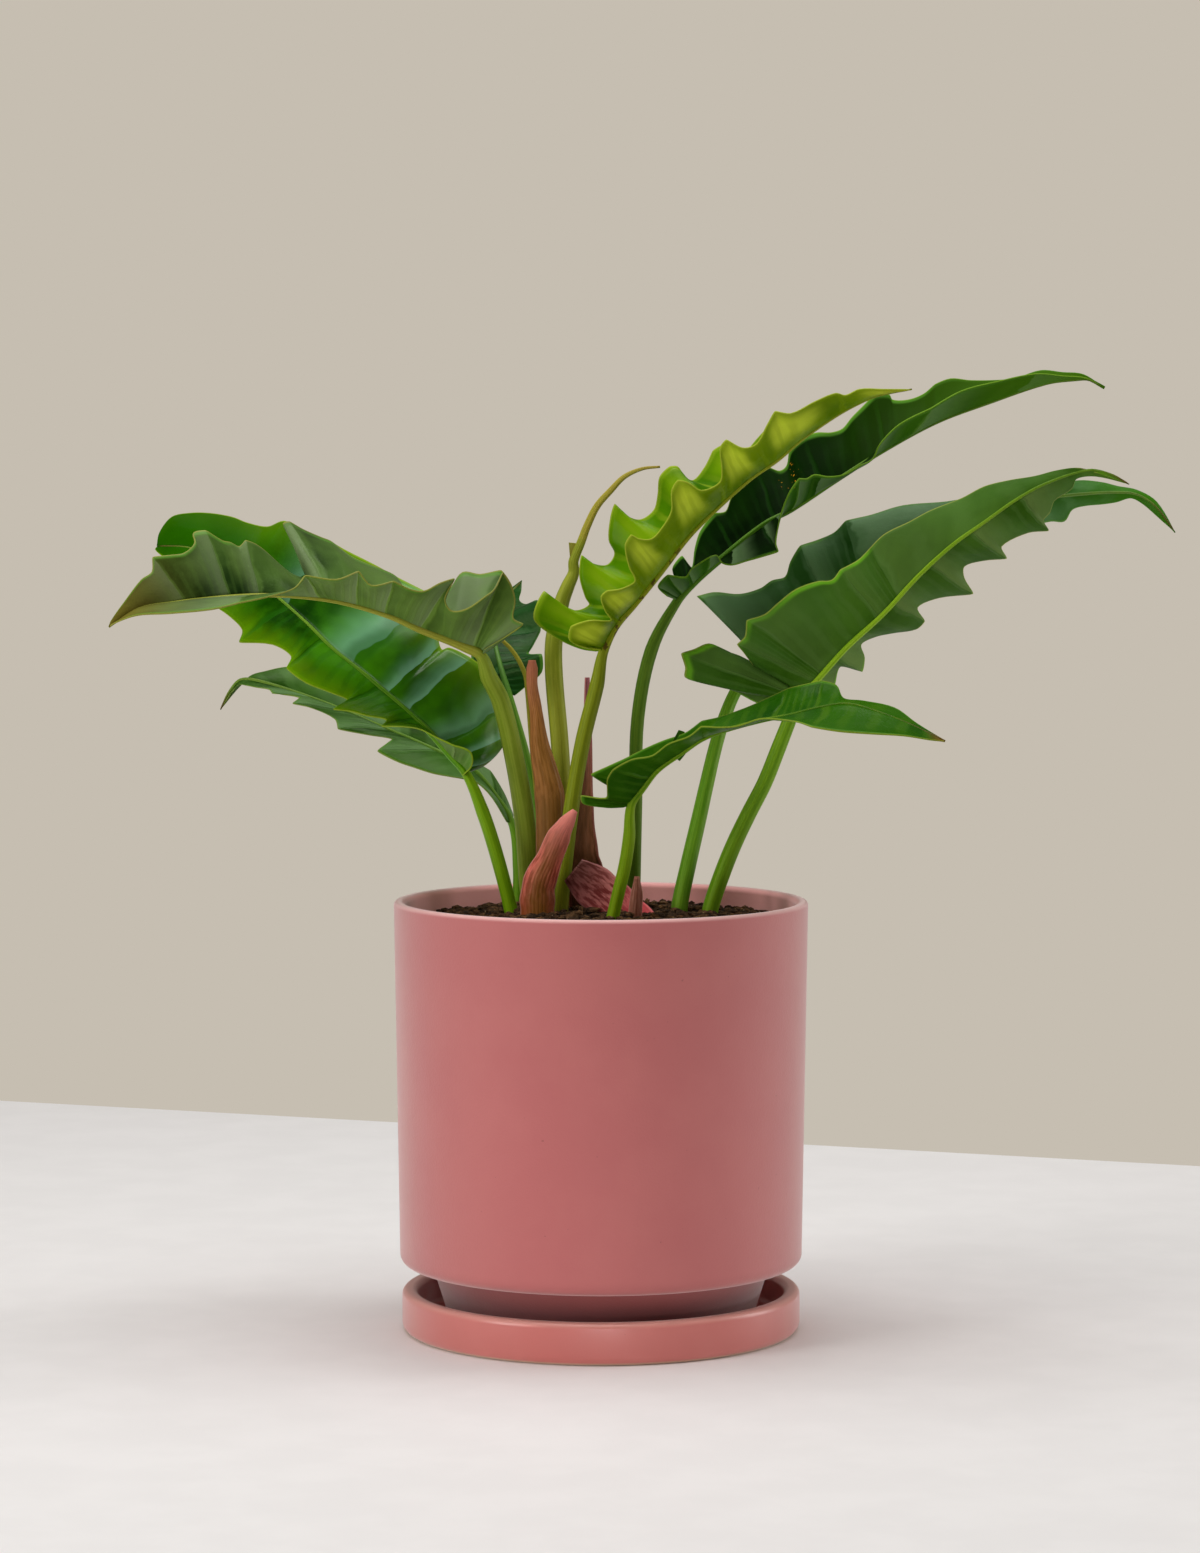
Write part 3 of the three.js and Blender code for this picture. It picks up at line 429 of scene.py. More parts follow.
def stemMaterial(name, look):
    # Petiole below and midrib above, with long streaks and small pale dots
    material, tree, shader = newMaterial(name, look["stemRough"], specular=0.3, shineTint="dcf08c")
    place, along = coordinates(tree), alongValue(tree)
    streaks = useGroup(tree, "streaks", UV=coordinates(tree, "UV"), Count=look["streaks"])
    patches = useGroup(tree, "mottle", Place=place)
    stem = addMix(tree, addRange(tree, streaks["Streak"], 0.0, 1.0, 0.2, 0.75), tint(look["stem"]),
                  tint(look["stemLight"]))
    stem = paint(tree, stem, [(addRange(tree, along, 0.0, 0.35, look["footShare"], 0.0), look["foot"])])
    rib = addMix(tree, streaks["Streak"], tint(look["rib"]), tint(look["ribLight"]))
    rib = paint(tree, rib, [(addRange(tree, along, 1.2, 1.8, 0.0, look["ribTipShare"]), look["ribTip"])])
    nearJunction = times(tree, addRange(tree, along, 0.98, 1.02, 0.0, look["scar"]),
                         addRange(tree, along, 1.25, 1.4, 1.0, 0.0))
    scars = times(tree, addRange(tree, addNoise(tree, place, 300, 2.0), 0.56, 0.6), nearJunction)
    base = paint(tree, addMix(tree, addRange(tree, along, 0.97, 1.06), stem, rib), [
        (times(tree, patches["Small"], 0.2), look["stemLight"]),
        (addRange(tree, addNoise(tree, place, 900, 1.0), 0.66, 0.72, 0.0, 0.3), look["stemLight"]),
        (scars, look["scarTint"]),
        (addRange(tree, along, 1.85, 2.0), look["tipEnd"]),
    ])
    tree.links.new(base, shader.inputs["Base Color"])
    addBump(tree, shader, [(streaks["Streak"], 0.6), (patches["Grain"], 0.15)], 0.35, 0.0005)
    return material


# Shape of each leaf, in millimetres, as in the CAD: petiole [x, y, z, radius] from the soil up,
# spine [x, y, z] from the junction to the tip, and margin rows [midrib distance, x, y, z]
leafShapes = {
    "leaf_left_arching": {
        "ribRadius": 3.6,
        "petiole": [
            [-34, 24, 214, 5.6], [-36, 23, 222, 5.6], [-39, 21, 258, 5.3], [-44, 17, 289, 5],
            [-51, 12, 319, 4.7], [-57, 6, 332, 4.4],
        ],
        "spine": [
            [-61, 0, 343], [-69, -2, 347], [-76, -4, 350], [-91, -9, 356], [-106, -14, 363], [-129, -20, 370],
            [-148, -27, 373], [-170, -33, 374], [-191, -40, 373], [-210, -46, 371], [-228, -53, 368],
            [-242, -58, 359],
        ],
        "near": [
            [0.2, -59, -4, 346], [0.6, -49, -9, 352], [1, -39, -14, 359], [1.4, -44, -15, 362],
            [1.8, -43, -17, 371], [2.7, -45, -19, 379], [3.7, -49, -20, 385], [9.7, -53, -25, 377],
            [13, -58, -27, 373], [16, -67, -25, 367], [19, -75, -21, 366], [22, -78, -23, 372],
            [34, -73, -27, 382], [37, -80, -31, 380], [42, -88, -31, 376], [47, -95, -33, 377],
            [54, -103, -37, 381], [61, -114, -39, 379], [69, -120, -43, 386], [78, -131, -43, 382],
            [88, -146, -47, 384], [97, -151, -53, 378], [108, -163, -61, 374], [123, -177, -67, 371],
            [141, -190, -71, 368], [161, -211, -71, 366], [179, -227, -67, 365], [193, -239, -60, 361],
        ],
        "far": [
            [0.6, -63, 6, 347], [1.2, -52, 22, 359], [2.4, -46, 30, 374], [4.9, -51, 32, 385],
            [8.6, -62, 34, 383], [13, -71, 34, 384], [18, -78, 31, 375], [25, -88, 34, 372],
            [35, -98, 33, 372], [42, -101, 31, 376], [46, -105, 29, 382], [52, -113, 28, 386],
            [57, -121, 27, 389], [63, -129, 26, 393], [68, -138, 26, 400], [72, -143, 26, 402],
            [77, -152, 25, 406], [81, -159, 24, 410], [83, -162, 23, 409], [85, -158, 21, 402],
            [87, -154, 18, 394], [90, -151, 12, 387], [93, -150, 5, 382], [97, -156, -3, 384],
            [102, -163, -8, 390], [108, -168, -12, 395], [114, -173, -15, 399], [119, -178, -18, 401],
            [122, -181, -21, 398], [125, -185, -23, 400], [130, -189, -25, 401], [134, -197, -26, 406],
            [138, -203, -28, 405], [142, -202, -33, 400], [147, -207, -38, 395], [152, -214, -40, 394],
            [157, -222, -42, 393], [163, -222, -46, 386], [171, -227, -50, 382], [181, -235, -54, 371],
            [193, -241, -57, 362],
        ],
    },
    "leaf_left_glossy": {
        "ribRadius": 3,
        "petiole": [
            [-45, 5, 205, 3.5], [-46, 5, 214, 3.5], [-53, 6, 241, 3.5], [-60, 5, 263, 3.4],
        ],
        "spine": [
            [-68, 4, 282], [-77, 7, 292], [-88, 12, 304], [-103, 20, 317], [-120, 29, 331], [-137, 37, 344],
            [-152, 44, 358], [-171, 52, 374], [-193, 62, 388], [-214, 72, 396], [-232, 79, 397],
        ],
        "near": [
            [0.8, -70, 0, 282], [1.6, -65, -8, 288], [4.9, -66, -12, 295], [10.5, -74, -13, 298],
            [17, -83, -11, 302], [24, -92, -7, 306], [33, -101, -5, 307], [40, -111, -1, 307],
            [47, -109, 4, 310], [50, -119, 5, 312], [59, -127, 8, 314], [66, -136, 10, 315],
            [77, -129, 17, 319], [87, -138, 19, 323], [97, -151, 22, 328], [108, -161, 28, 335],
            [115, -159, 33, 341], [124, -169, 36, 347], [134, -186, 39, 348], [142, -185, 46, 354],
            [152, -192, 50, 361], [165, -201, 56, 367], [178, -210, 62, 376], [191, -220, 68, 385],
            [204, -228, 74, 391], [215, -233, 78, 395],
        ],
        "far": [
            [0.8, -67, 12, 283], [2.4, -59, 26, 286], [5.7, -51, 36, 294], [11.4, -48, 42, 303],
            [19, -49, 44, 314], [30, -55, 42, 326], [40, -62, 40, 336], [49, -69, 40, 341],
            [54, -78, 41, 345], [59, -82, 42, 344], [64, -84, 45, 351], [73, -82, 51, 362],
            [85, -84, 56, 370], [97, -94, 60, 375], [107, -106, 62, 381], [116, -117, 64, 387],
            [126, -133, 66, 395], [136, -142, 68, 400], [147, -157, 70, 406], [156, -165, 72, 410],
            [165, -174, 76, 407], [176, -185, 80, 409], [186, -193, 82, 412], [194, -205, 84, 414],
            [203, -216, 86, 414], [210, -225, 86, 412], [217, -231, 83, 404],
        ],
    },
    "leaf_left_low": {
        "ribRadius": 2.6,
        "petiole": [
            [-43, 60, 205, 3], [-43, 60, 214, 3], [-43, 60, 231, 3],
        ],
        "spine": [
            [-46, 60, 252], [-55, 61, 267], [-67, 63, 281], [-89, 66, 292], [-115, 71, 303], [-147, 76, 316],
            [-178, 81, 326], [-189, 83, 327], [-195, 84, 321], [-200, 85, 311],
        ],
        "near": [
            [1.1, -49, 57, 254], [5.5, -58, 51, 269], [15, -66, 49, 276], [25, -76, 47, 278],
            [36, -87, 47, 280], [44, -97, 49, 283], [50, -106, 51, 286], [56, -116, 55, 291],
            [62, -111, 60, 295], [68, -109, 62, 297], [76, -121, 62, 299], [83, -137, 64, 302],
            [91, -139, 68, 307], [99, -152, 69, 313], [108, -161, 70, 315], [115, -158, 74, 318],
            [123, -172, 76, 320], [131, -174, 78, 322], [141, -181, 80, 323], [151, -187, 82, 324],
            [163, -191, 83, 324],
        ],
        "far": [
            [1.1, -46, 67, 257], [8.8, -51, 74, 268], [19, -58, 78, 279], [31, -64, 80, 283],
            [44, -73, 84, 296], [58, -85, 88, 308], [75, -103, 90, 316], [92, -121, 92, 321],
            [110, -138, 92, 328], [124, -151, 92, 333], [136, -166, 91, 333], [146, -176, 89, 331],
            [157, -185, 86, 328],
        ],
    },
    "leaf_back_dark": {
        "ribRadius": 2.4,
        "petiole": [
            [-30, 50, 206, 2.8], [-30, 50, 216, 2.8], [-34, 58, 265, 2.8], [-41, 64, 294, 2.6],
        ],
        "spine": [
            [-48, 72, 319], [-53, 82, 335], [-56, 98, 347], [-55, 118, 358], [-51, 140, 368], [-43, 160, 377],
        ],
        "near": [
            [1.1, -45, 74, 319], [5.5, -40, 77, 323], [11, -31, 79, 331], [19, -31, 84, 340],
            [27, -38, 91, 340], [34, -36, 95, 344], [46, -32, 104, 352], [62, -33, 118, 367],
            [75, -40, 130, 365], [88, -44, 142, 367], [100, -43, 152, 372],
        ],
        "far": [
            [1.1, -51, 73, 318], [6.6, -59, 72, 317], [15, -65, 75, 325], [29, -68, 84, 339],
            [46, -67, 98, 351], [64, -64, 114, 361], [82, -58, 132, 366], [99, -49, 150, 373],
        ],
    },
    "leaf_young_lime": {
        "ribRadius": 3.2,
        "petiole": [
            [-21, -2, 210, 4.2], [-20, -2, 223, 4.2], [-15, -1, 265, 4], [-9, 0, 300, 3.9], [-2, 0, 328, 3.7],
        ],
        "spine": [
            [1, 0, 344], [7, -1, 357], [17, -4, 369], [30, -7, 385], [44, -10, 403], [58, -13, 417],
            [75, -17, 432], [88, -20, 441], [101, -23, 452], [117, -27, 463], [128, -29, 469],
            [138, -31, 473], [154, -35, 476],
        ],
        "near": [
            [0.4, -1, -4, 346], [1.3, -8, -10, 347], [2.6, -16, -14, 351], [5.2, -15, -18, 358],
            [10.4, -6, -20, 361], [16, 5, -16, 361], [19, 2, -20, 366], [22, 0, -24, 373], [26, 3, -26, 376],
            [32, 10, -26, 377], [37, 17, -24, 381], [41, 14, -28, 388], [45, 12, -32, 399],
            [49, 15, -34, 404], [54, 19, -32, 402], [60, 25, -30, 402], [65, 30, -28, 407],
            [70, 35, -30, 416], [75, 35, -34, 426], [80, 38, -36, 431], [86, 43, -36, 430],
            [93, 50, -32, 426], [100, 59, -30, 430], [104, 60, -32, 437], [109, 59, -36, 447],
            [114, 62, -38, 451], [121, 70, -38, 447], [128, 77, -36, 449], [134, 82, -38, 458],
            [141, 86, -40, 465], [150, 94, -40, 464], [160, 106, -38, 470], [171, 116, -38, 474],
            [178, 121, -37, 473], [187, 128, -37, 476], [199, 140, -36, 476],
        ],
        "far": [
            [0.8, -3, 3, 345], [1.3, -10, 3, 346], [2.6, -18, 3, 349], [3.9, -28, 2, 355], [4.6, -34, 3, 361],
            [6.5, -33, 5, 368], [8.5, -29, 9, 375], [18, -23, 11, 369], [21, -13, 11, 365], [25, -6, 12, 368],
            [28, -8, 13, 372], [29, -11, 15, 383], [32, -10, 18, 393], [41, -5, 18, 389], [45, 3, 17, 388],
            [49, 7, 18, 394], [51, 4, 19, 401], [54, 5, 21, 413], [57, 7, 23, 419], [69, 13, 21, 413],
            [75, 20, 20, 411], [76, 27, 20, 416], [79, 29, 21, 424], [82, 30, 22, 433], [84, 35, 23, 438],
            [87, 39, 23, 438], [102, 42, 21, 433], [110, 47, 19, 431], [116, 53, 19, 438], [121, 57, 20, 446],
            [128, 63, 18, 449], [135, 72, 14, 445], [143, 80, 10, 453], [152, 89, 6, 462], [164, 104, 0, 464],
            [178, 120, -10, 470], [193, 133, -20, 473],
        ],
    },
    "leaf_back_right": {
        "ribRadius": 3,
        "petiole": [
            [17, 50, 208, 3.6], [17, 50, 218, 3.6], [18, 48, 266, 3.5], [19, 46, 308, 3.4],
            [26, 42, 344, 3.4],
        ],
        "spine": [
            [39, 37, 369], [49, 37, 380], [63, 38, 392], [75, 40, 402], [86, 41, 410], [98, 43, 416],
            [121, 46, 431], [145, 49, 446], [173, 52, 461], [200, 54, 471], [230, 58, 481], [246, 61, 483],
            [253, 63, 483], [261, 64, 479],
        ],
        "near": [
            [0.7, 34, 28, 372], [2.2, 29, 22, 377], [4.5, 34, 18, 383], [9.7, 43, 18, 382], [15, 46, 18, 386],
            [21, 55, 18, 392], [26, 59, 20, 393], [32, 62, 24, 389], [39, 67, 25, 388], [46, 74, 23, 390],
            [53, 81, 20, 392], [59, 90, 17, 395], [62, 89, 19, 399], [66, 90, 22, 406], [69, 92, 21, 415],
            [72, 96, 21, 425], [76, 101, 23, 432], [80, 105, 25, 432], [85, 109, 27, 434], [93, 116, 27, 433],
            [101, 124, 29, 434], [109, 133, 31, 439], [116, 139, 33, 442], [121, 143, 33, 450],
            [131, 153, 33, 460], [146, 169, 37, 468], [165, 185, 41, 477], [184, 204, 45, 482],
            [205, 224, 51, 486], [226, 239, 57, 485], [242, 251, 61, 484],
        ],
        "far": [
            [1.5, 43, 46, 375], [5.2, 37, 56, 385], [9.7, 42, 60, 392], [18, 47, 58, 386], [25, 49, 66, 396],
            [31, 52, 70, 405], [39, 59, 72, 414], [46, 65, 70, 415], [51, 68, 72, 422], [59, 74, 74, 430],
            [66, 81, 76, 438], [72, 87, 74, 438], [76, 93, 72, 436], [81, 97, 74, 439], [88, 99, 76, 448],
            [95, 106, 78, 454], [102, 113, 78, 456], [108, 120, 76, 456], [114, 126, 76, 458],
            [121, 131, 76, 464], [127, 137, 78, 470], [134, 143, 78, 476], [138, 150, 78, 476],
            [142, 152, 76, 473], [150, 160, 74, 473], [158, 168, 74, 476], [166, 174, 74, 481],
            [175, 182, 74, 484], [186, 192, 72, 483], [199, 205, 70, 483], [212, 215, 68, 484],
            [223, 228, 66, 488], [234, 239, 65, 487], [243, 250, 65, 486],
        ],
    },
    "leaf_right_broad": {
        "ribRadius": 3.2,
        "petiole": [
            [55, 8, 205, 4.2], [56, 8, 214, 4.2], [62, 8, 232, 4.2], [68, 8, 247, 4.1], [75, 6, 262, 4],
            [83, 4, 278, 3.9], [90, 2, 296, 3.8], [95, 1, 309, 3.6],
        ],
        "spine": [
            [99, 0, 319], [109, -2, 330], [124, -5, 347], [142, -10, 364], [159, -15, 383], [176, -20, 399],
            [191, -25, 410], [206, -29, 421], [220, -33, 429], [241, -39, 436], [252, -41, 434],
            [261, -43, 429],
        ],
        "near": [
            [0.8, 93, 5, 314], [1.2, 80, 12, 318], [1.6, 66, 16, 325], [2, 54, 18, 328], [2.4, 43, 18, 331],
            [2.8, 43, 18, 336], [3.2, 41, 18, 343], [3.6, 47, 18, 345], [4, 55, 18, 348], [4.4, 64, 18, 344],
            [4.8, 72, 17, 341], [6.8, 79, 12, 335], [11.2, 74, 5, 342], [14, 69, 7, 348], [16, 73, 9, 352],
            [19, 74, 13, 360], [22, 83, 14, 363], [28, 90, 13, 369], [37, 99, 11, 376], [46, 110, 9, 380],
            [54, 117, 3, 381], [60, 121, 3, 386], [68, 130, 1, 391], [75, 136, 1, 397], [84, 143, -1, 404],
            [97, 155, -3, 410], [111, 166, -7, 416], [124, 181, -11, 422], [138, 192, -17, 428],
            [151, 204, -22, 431], [164, 216, -27, 433], [177, 227, -33, 436], [189, 237, -38, 437],
        ],
        "far": [
            [0.8, 104, 5, 317], [4.5, 112, 10, 321], [11.2, 119, 14, 328], [19, 121, 14, 336],
            [24, 126, 15, 338], [30, 133, 17, 334], [36, 134, 15, 341], [41, 132, 11, 348], [46, 139, 9, 352],
            [50, 148, 8, 354], [61, 160, 8, 356], [70, 164, 8, 360], [78, 160, 4, 367], [87, 171, 2, 372],
            [97, 188, 2, 374], [102, 183, -3, 382], [107, 183, -5, 388], [115, 193, -7, 391],
            [124, 204, -8, 392], [132, 201, -11, 398], [144, 214, -15, 405], [154, 224, -17, 406],
            [159, 221, -19, 411], [164, 224, -21, 415], [169, 226, -24, 421], [176, 234, -30, 427],
            [184, 236, -35, 432], [194, 245, -39, 433],
        ],
    },
    "leaf_right_behind": {
        "ribRadius": 3,
        "petiole": [
            [40, 8, 205, 4.3], [40, 8, 214, 4.3], [44, 12, 233, 4.1], [50, 20, 258, 3.9], [54, 26, 275, 3.7],
            [59, 34, 295, 3.5], [64, 42, 310, 3.3], [70, 47, 323, 3.1],
        ],
        "spine": [
            [81, 50, 338], [94, 52, 352], [107, 54, 366], [125, 56, 380], [145, 58, 391], [171, 61, 404],
            [197, 64, 415], [223, 67, 421], [249, 70, 424], [268, 73, 425], [279, 74, 424], [289, 75, 418],
            [300, 77, 404],
        ],
        "near": [
            [0.8, 50, 65, 371], [5.4, 59, 66, 373], [15, 72, 67, 372], [23, 83, 67, 375], [30, 89, 68, 379],
            [35, 96, 69, 381], [41, 99, 72, 389], [48, 104, 74, 397], [57, 113, 75, 400], [65, 122, 76, 404],
            [72, 128, 78, 410], [84, 141, 79, 413], [101, 158, 80, 418], [122, 181, 80, 420],
            [145, 203, 80, 424], [169, 230, 80, 428], [187, 250, 80, 431], [199, 262, 80, 430],
            [210, 270, 79, 428], [222, 280, 78, 426], [235, 290, 77, 420],
        ],
        "far": [
            [1.5, 88, 56, 332], [6.9, 98, 59, 334], [16, 111, 62, 341], [35, 127, 64, 351],
            [55, 139, 66, 358], [73, 154, 68, 365], [96, 172, 70, 375], [119, 187, 72, 387],
            [142, 205, 74, 398], [159, 224, 76, 407], [172, 235, 77, 410], [180, 242, 77, 410],
            [186, 246, 77, 416], [193, 252, 77, 418], [204, 262, 77, 419], [213, 269, 76, 420],
            [222, 277, 75, 422], [234, 285, 75, 417],
        ],
    },
    "leaf_front_small": {
        "ribRadius": 2.8,
        "petiole": [
            [4, -37, 205, 3.2], [6, -37, 214, 3.2], [9, -38, 227, 3.2], [12, -39, 240, 3.2],
            [14, -40, 254, 3.1],
        ],
        "spine": [
            [15, -42, 270], [21, -44, 279], [28, -48, 288], [40, -55, 297], [50, -60, 304], [62, -68, 309],
            [79, -77, 314], [92, -84, 317], [106, -90, 321], [119, -95, 323], [132, -101, 320],
            [148, -107, 314], [165, -114, 306],
        ],
        "near": [
            [0.2, 11, -43, 269], [0.6, 1, -45, 269], [1, -9, -45, 271], [1.4, -10, -47, 275],
            [1.8, 2, -50, 274], [6, 3, -55, 278], [11.8, 3, -59, 284], [17, 6, -61, 289], [22, 15, -63, 294],
            [29, 25, -65, 296], [38, 33, -69, 302], [48, 43, -73, 306], [56, 49, -77, 311],
            [66, 57, -83, 311], [77, 66, -91, 312], [89, 77, -99, 316], [100, 87, -107, 316],
            [111, 95, -113, 315], [123, 101, -117, 313], [135, 114, -120, 311], [149, 129, -122, 310],
            [162, 145, -121, 309], [175, 157, -118, 307],
        ],
        "far": [
            [0.6, 19, -37, 273], [1.4, 13, -33, 275], [3, 4, -32, 279], [5, -1, -34, 282], [8, -5, -36, 285],
            [11.8, 3, -38, 289], [17, 12, -38, 293], [23, 22, -39, 298], [30, 31, -41, 302],
            [38, 42, -44, 306], [47, 50, -47, 312], [58, 58, -51, 314], [70, 69, -55, 318],
            [82, 78, -59, 322], [94, 92, -65, 329], [106, 99, -69, 331], [116, 108, -71, 333],
            [123, 115, -75, 331], [129, 118, -83, 325], [137, 127, -87, 324], [151, 142, -95, 321],
            [165, 152, -103, 314],
        ],
    },
}

# Values that leaves share unless leafLooks says otherwise. up tells which face of the near half is the
# upper one, folds is the number of pleats for each vein, and shares are how far a colour covers
# The pleats are painted highlight streaks in a blade's colour, not folds in its shape
plainLeaf = {
    "up": 1, "quilt": 0.9, "phase": 0.0, "folds": 1.0, "relief": 0.6, "streaks": 22,
    "shine": 0.2, "shineTint": "dcff8c", "index": 1.28, "farCoat": 0.0,
    "fine": 0.3, "main": 0.4, "pillow": 0.25, "outerShare": 0.35,
    "nearPleatHighlight": 0.45, "farPleatHighlight": 0.45, "pleatSharp": 1.0, "pleatTo": 1.0,
    "tipFrom": 0.86, "tipShare": 0.7, "edgeShare": 0.55, "curl": 0.5, "curlTo": 1.0, "curlTint": "5f9a2c",
    "ribShare": 0.8, "ribTip": "8a9a3c", "ribTipShare": 0.3, "tipEnd": "5a4520",
    "foot": "84a02a", "footShare": 0.5, "stemRough": 0.38, "scar": 0.0, "scarTint": "4a3010",
}
# top and under each give the deep, light, outer, vein and bulge colours of a face; the bulge colour is a
# painted highlight
leafLooks = {
    "leaf_left_arching": {
        "top": ("1a3212", "4c6c2c", "3c561c", "64863e", "7c9a4c"), "topRough": 0.32,
        "under": ("36521a", "66883a", "5a7a2a", "7ba241", "7c9a4c"), "underRough": 0.42,
        "rib": "969632", "ribLight": "b0b046", "stem": "789022", "stemLight": "9cb03c",
        "margin": "a89c4c", "tip": "7b6420", "tipFrom": 0.7, "fine": 0.15,
        "nearPleatHighlight": 0.6, "farPleatHighlight": 0.5, "pleatHighlightTint": "84986a", "pleatSharp": 1.3,
    },
    "leaf_left_glossy": {
        # Its pale bluish pleat colour on the far half is a painted highlight
        "top": ("0a3402", "448a06", "6e9a06", "266410", "4a8a14"), "topRough": 0.2,
        "under": ("44682a", "64883c", "688c40", "7c9c54", "4a8a14"), "underRough": 0.42,
        "rib": "3c7c08", "ribLight": "649c18", "stem": "5f9206", "stemLight": "86b212",
        "margin": "a0b430", "tip": "1e5400", "tipFrom": 0.5, "tipShare": 0.9, "outerShare": 0.65,
        "shine": 0.14, "shineTint": "c8ff9c", "index": 1.12, "farCoat": 0.45, "quilt": 1.6,
        "nearPleatHighlight": 0.0, "farPleatHighlight": 0.6, "folds": 3.0, "pleatHighlightTint": "90ccac", "pleatSharp": 2.4,
        "pleatTo": 0.55, "curl": 0.7, "curlTint": "6c9c08",
    },
    "leaf_left_low": {
        "top": ("123602", "42701e", "4e7a2a", "608c44", "6a9450"), "topRough": 0.34,
        "under": ("445f30", "5c7a48", "587640", "78905c", "6a9450"), "underRough": 0.45,
        "rib": "56862a", "ribLight": "7aa040", "stem": "508a14", "stemLight": "7cae28",
        "margin": "98a850", "tip": "4a6424",
        "nearPleatHighlight": 0.65, "farPleatHighlight": 0.6, "pleatHighlightTint": "80a86c", "pleatSharp": 1.5,
    },
    "leaf_back_dark": {
        "up": -1, "top": ("082c0a", "184814", "164414", "2f6230", "2c5c20"), "topRough": 0.3,
        "under": ("2c5420", "44702e", "406a2c", "5c8440", "2c5c20"), "underRough": 0.45,
        "rib": "356a20", "ribLight": "5a8a38", "stem": "427818", "stemLight": "6a9430",
        "margin": "56803c", "tip": "365420",
    },
    "leaf_young_lime": {
        # Its pale yellow bulge colour on the underside is a painted highlight on each bulging lobe
        "up": -1, "top": ("2f5e00", "4f8200", "4a7a00", "86a01c", "7aa20a"), "topRough": 0.22,
        "under": ("4a6c00", "6e8e00", "849e04", "728e04", "cade3c"), "underRough": 0.26,
        "rib": "7c8a0c", "ribLight": "9aa01c", "stem": "687610", "stemLight": "8a961e",
        "margin": "b4c040", "tip": "8a8a20", "foot": "8c6a3c", "footShare": 0.7, "scar": 0.85,
        "shine": 0.22, "shineTint": "f4ffd0", "index": 1.2, "relief": 0.35, "pillow": 0.95,
        "phase": 0.5, "quilt": -2.4, "nearPleatHighlight": 0.15, "farPleatHighlight": 0.15, "curlTint": "8aa81c",
    },
    "leaf_back_right": {
        # Its top colours are a dark green pushed nearly to black: partly its own colour, partly painted shade
        # on the leaf's shaded inside
        "up": -1, "top": ("041202", "082003", "0c2a03", "163a0a", "143004"), "topRough": 0.4,
        "under": ("1c440a", "30600e", "3a6812", "5a842e", "143004"), "underRough": 0.34,
        "rib": "2c5f0c", "ribLight": "568a1c", "stem": "46701a", "stemLight": "6a8c28",
        "margin": "86ac34", "tip": "4c7c10", "tipFrom": 0.35, "tipShare": 0.75, "fine": 0.15,
        "shine": 0.1, "index": 1.12, "relief": 0.3, "nearPleatHighlight": 0.7, "farPleatHighlight": 0.0, "folds": 2.0,
        "pleatHighlightTint": "6c8a5c", "curl": 0.9, "curlTint": "4c8024",
        "specks": (0.0965, 0.4335), "speckTint": "c98a1c",
    },
    "leaf_right_broad": {
        "up": -1, "top": ("3a7a08", "5c9a10", "66a020", "7ab038", "54803a"), "topRough": 0.3,
        "under": ("264c06", "40681b", "3f6826", "56783a", "4c7832"), "underRough": 0.46,
        "rib": "76a610", "ribLight": "98be28", "stem": "50840c", "stemLight": "7aa61c",
        "margin": "b2b454", "tip": "5a7a28", "ribShare": 0.6, "ribTip": "4c7418", "ribTipShare": 0.85,
        "curl": 0.95, "curlTo": 0.3, "curlTint": "6cae24", "fine": 0.2, "main": 0.3,
        "nearPleatHighlight": 0.15, "farPleatHighlight": 0.4, "pleatHighlightTint": "86a05c",
    },
    "leaf_right_behind": {
        "top": ("1c4a10", "38682c", "4c7e3c", "6c9664", "5c8458"), "topRough": 0.3,
        "under": ("48722a", "608c38", "68903c", "80a44c", "5c8458"), "underRough": 0.42,
        "rib": "35662a", "ribLight": "5a8a40", "stem": "4c8616", "stemLight": "78a82a",
        "margin": "7c9c40", "tip": "3c7a04", "tipFrom": 0.55, "tipShare": 0.9, "quilt": 1.6,
        "nearPleatHighlight": 0.75, "pleatHighlightTint": "88b080", "pleatSharp": 1.6, "pillow": 0.3,
        "index": 1.2, "shineTint": "d0ffb0",
    },
    "leaf_front_small": {
        "up": -1, "top": ("154802", "2e6204", "2a5a03", "4a7414", "3c7008"), "topRough": 0.3,
        "under": ("1c4806", "2f6008", "2a5808", "46721a", "3c7008"), "underRough": 0.36,
        "rib": "4a8008", "ribLight": "7aa020", "stem": "5c8a06", "stemLight": "88a810",
        "margin": "b4b444", "tip": "8a5a28", "tipFrom": 0.93, "edgeShare": 0.35,
        "ribTip": "2c5c06", "ribTipShare": 0.9,
    },
}
# Form of every blade and stem, in millimetres; bow is a share of the half's width
bladeForm = {"thickness": 0.7, "bow": 0.04, "fullWidth": 30, "ripple": 0.8, "rippleScale": 0.045,
             "spineSteps": 8, "edgeSteps": 5, "rows": 14}
stemForm = {"steps": 6, "buried": 12, "ribEnd": 0.45, "tipRadius": 0.25}


def valueAt(values, i, steps):
    # Values stand at listed points, with steps parts between each two of them
    k = min(i // steps, len(values) - 2)
    t = i / steps - k
    return values[k] * (1 - t) + values[k + 1] * t


def bury(points, depth):
    # Carries a line on below its first point, into the soil
    return [points[0] + (points[0] - points[1]).normalized() * depth] + points


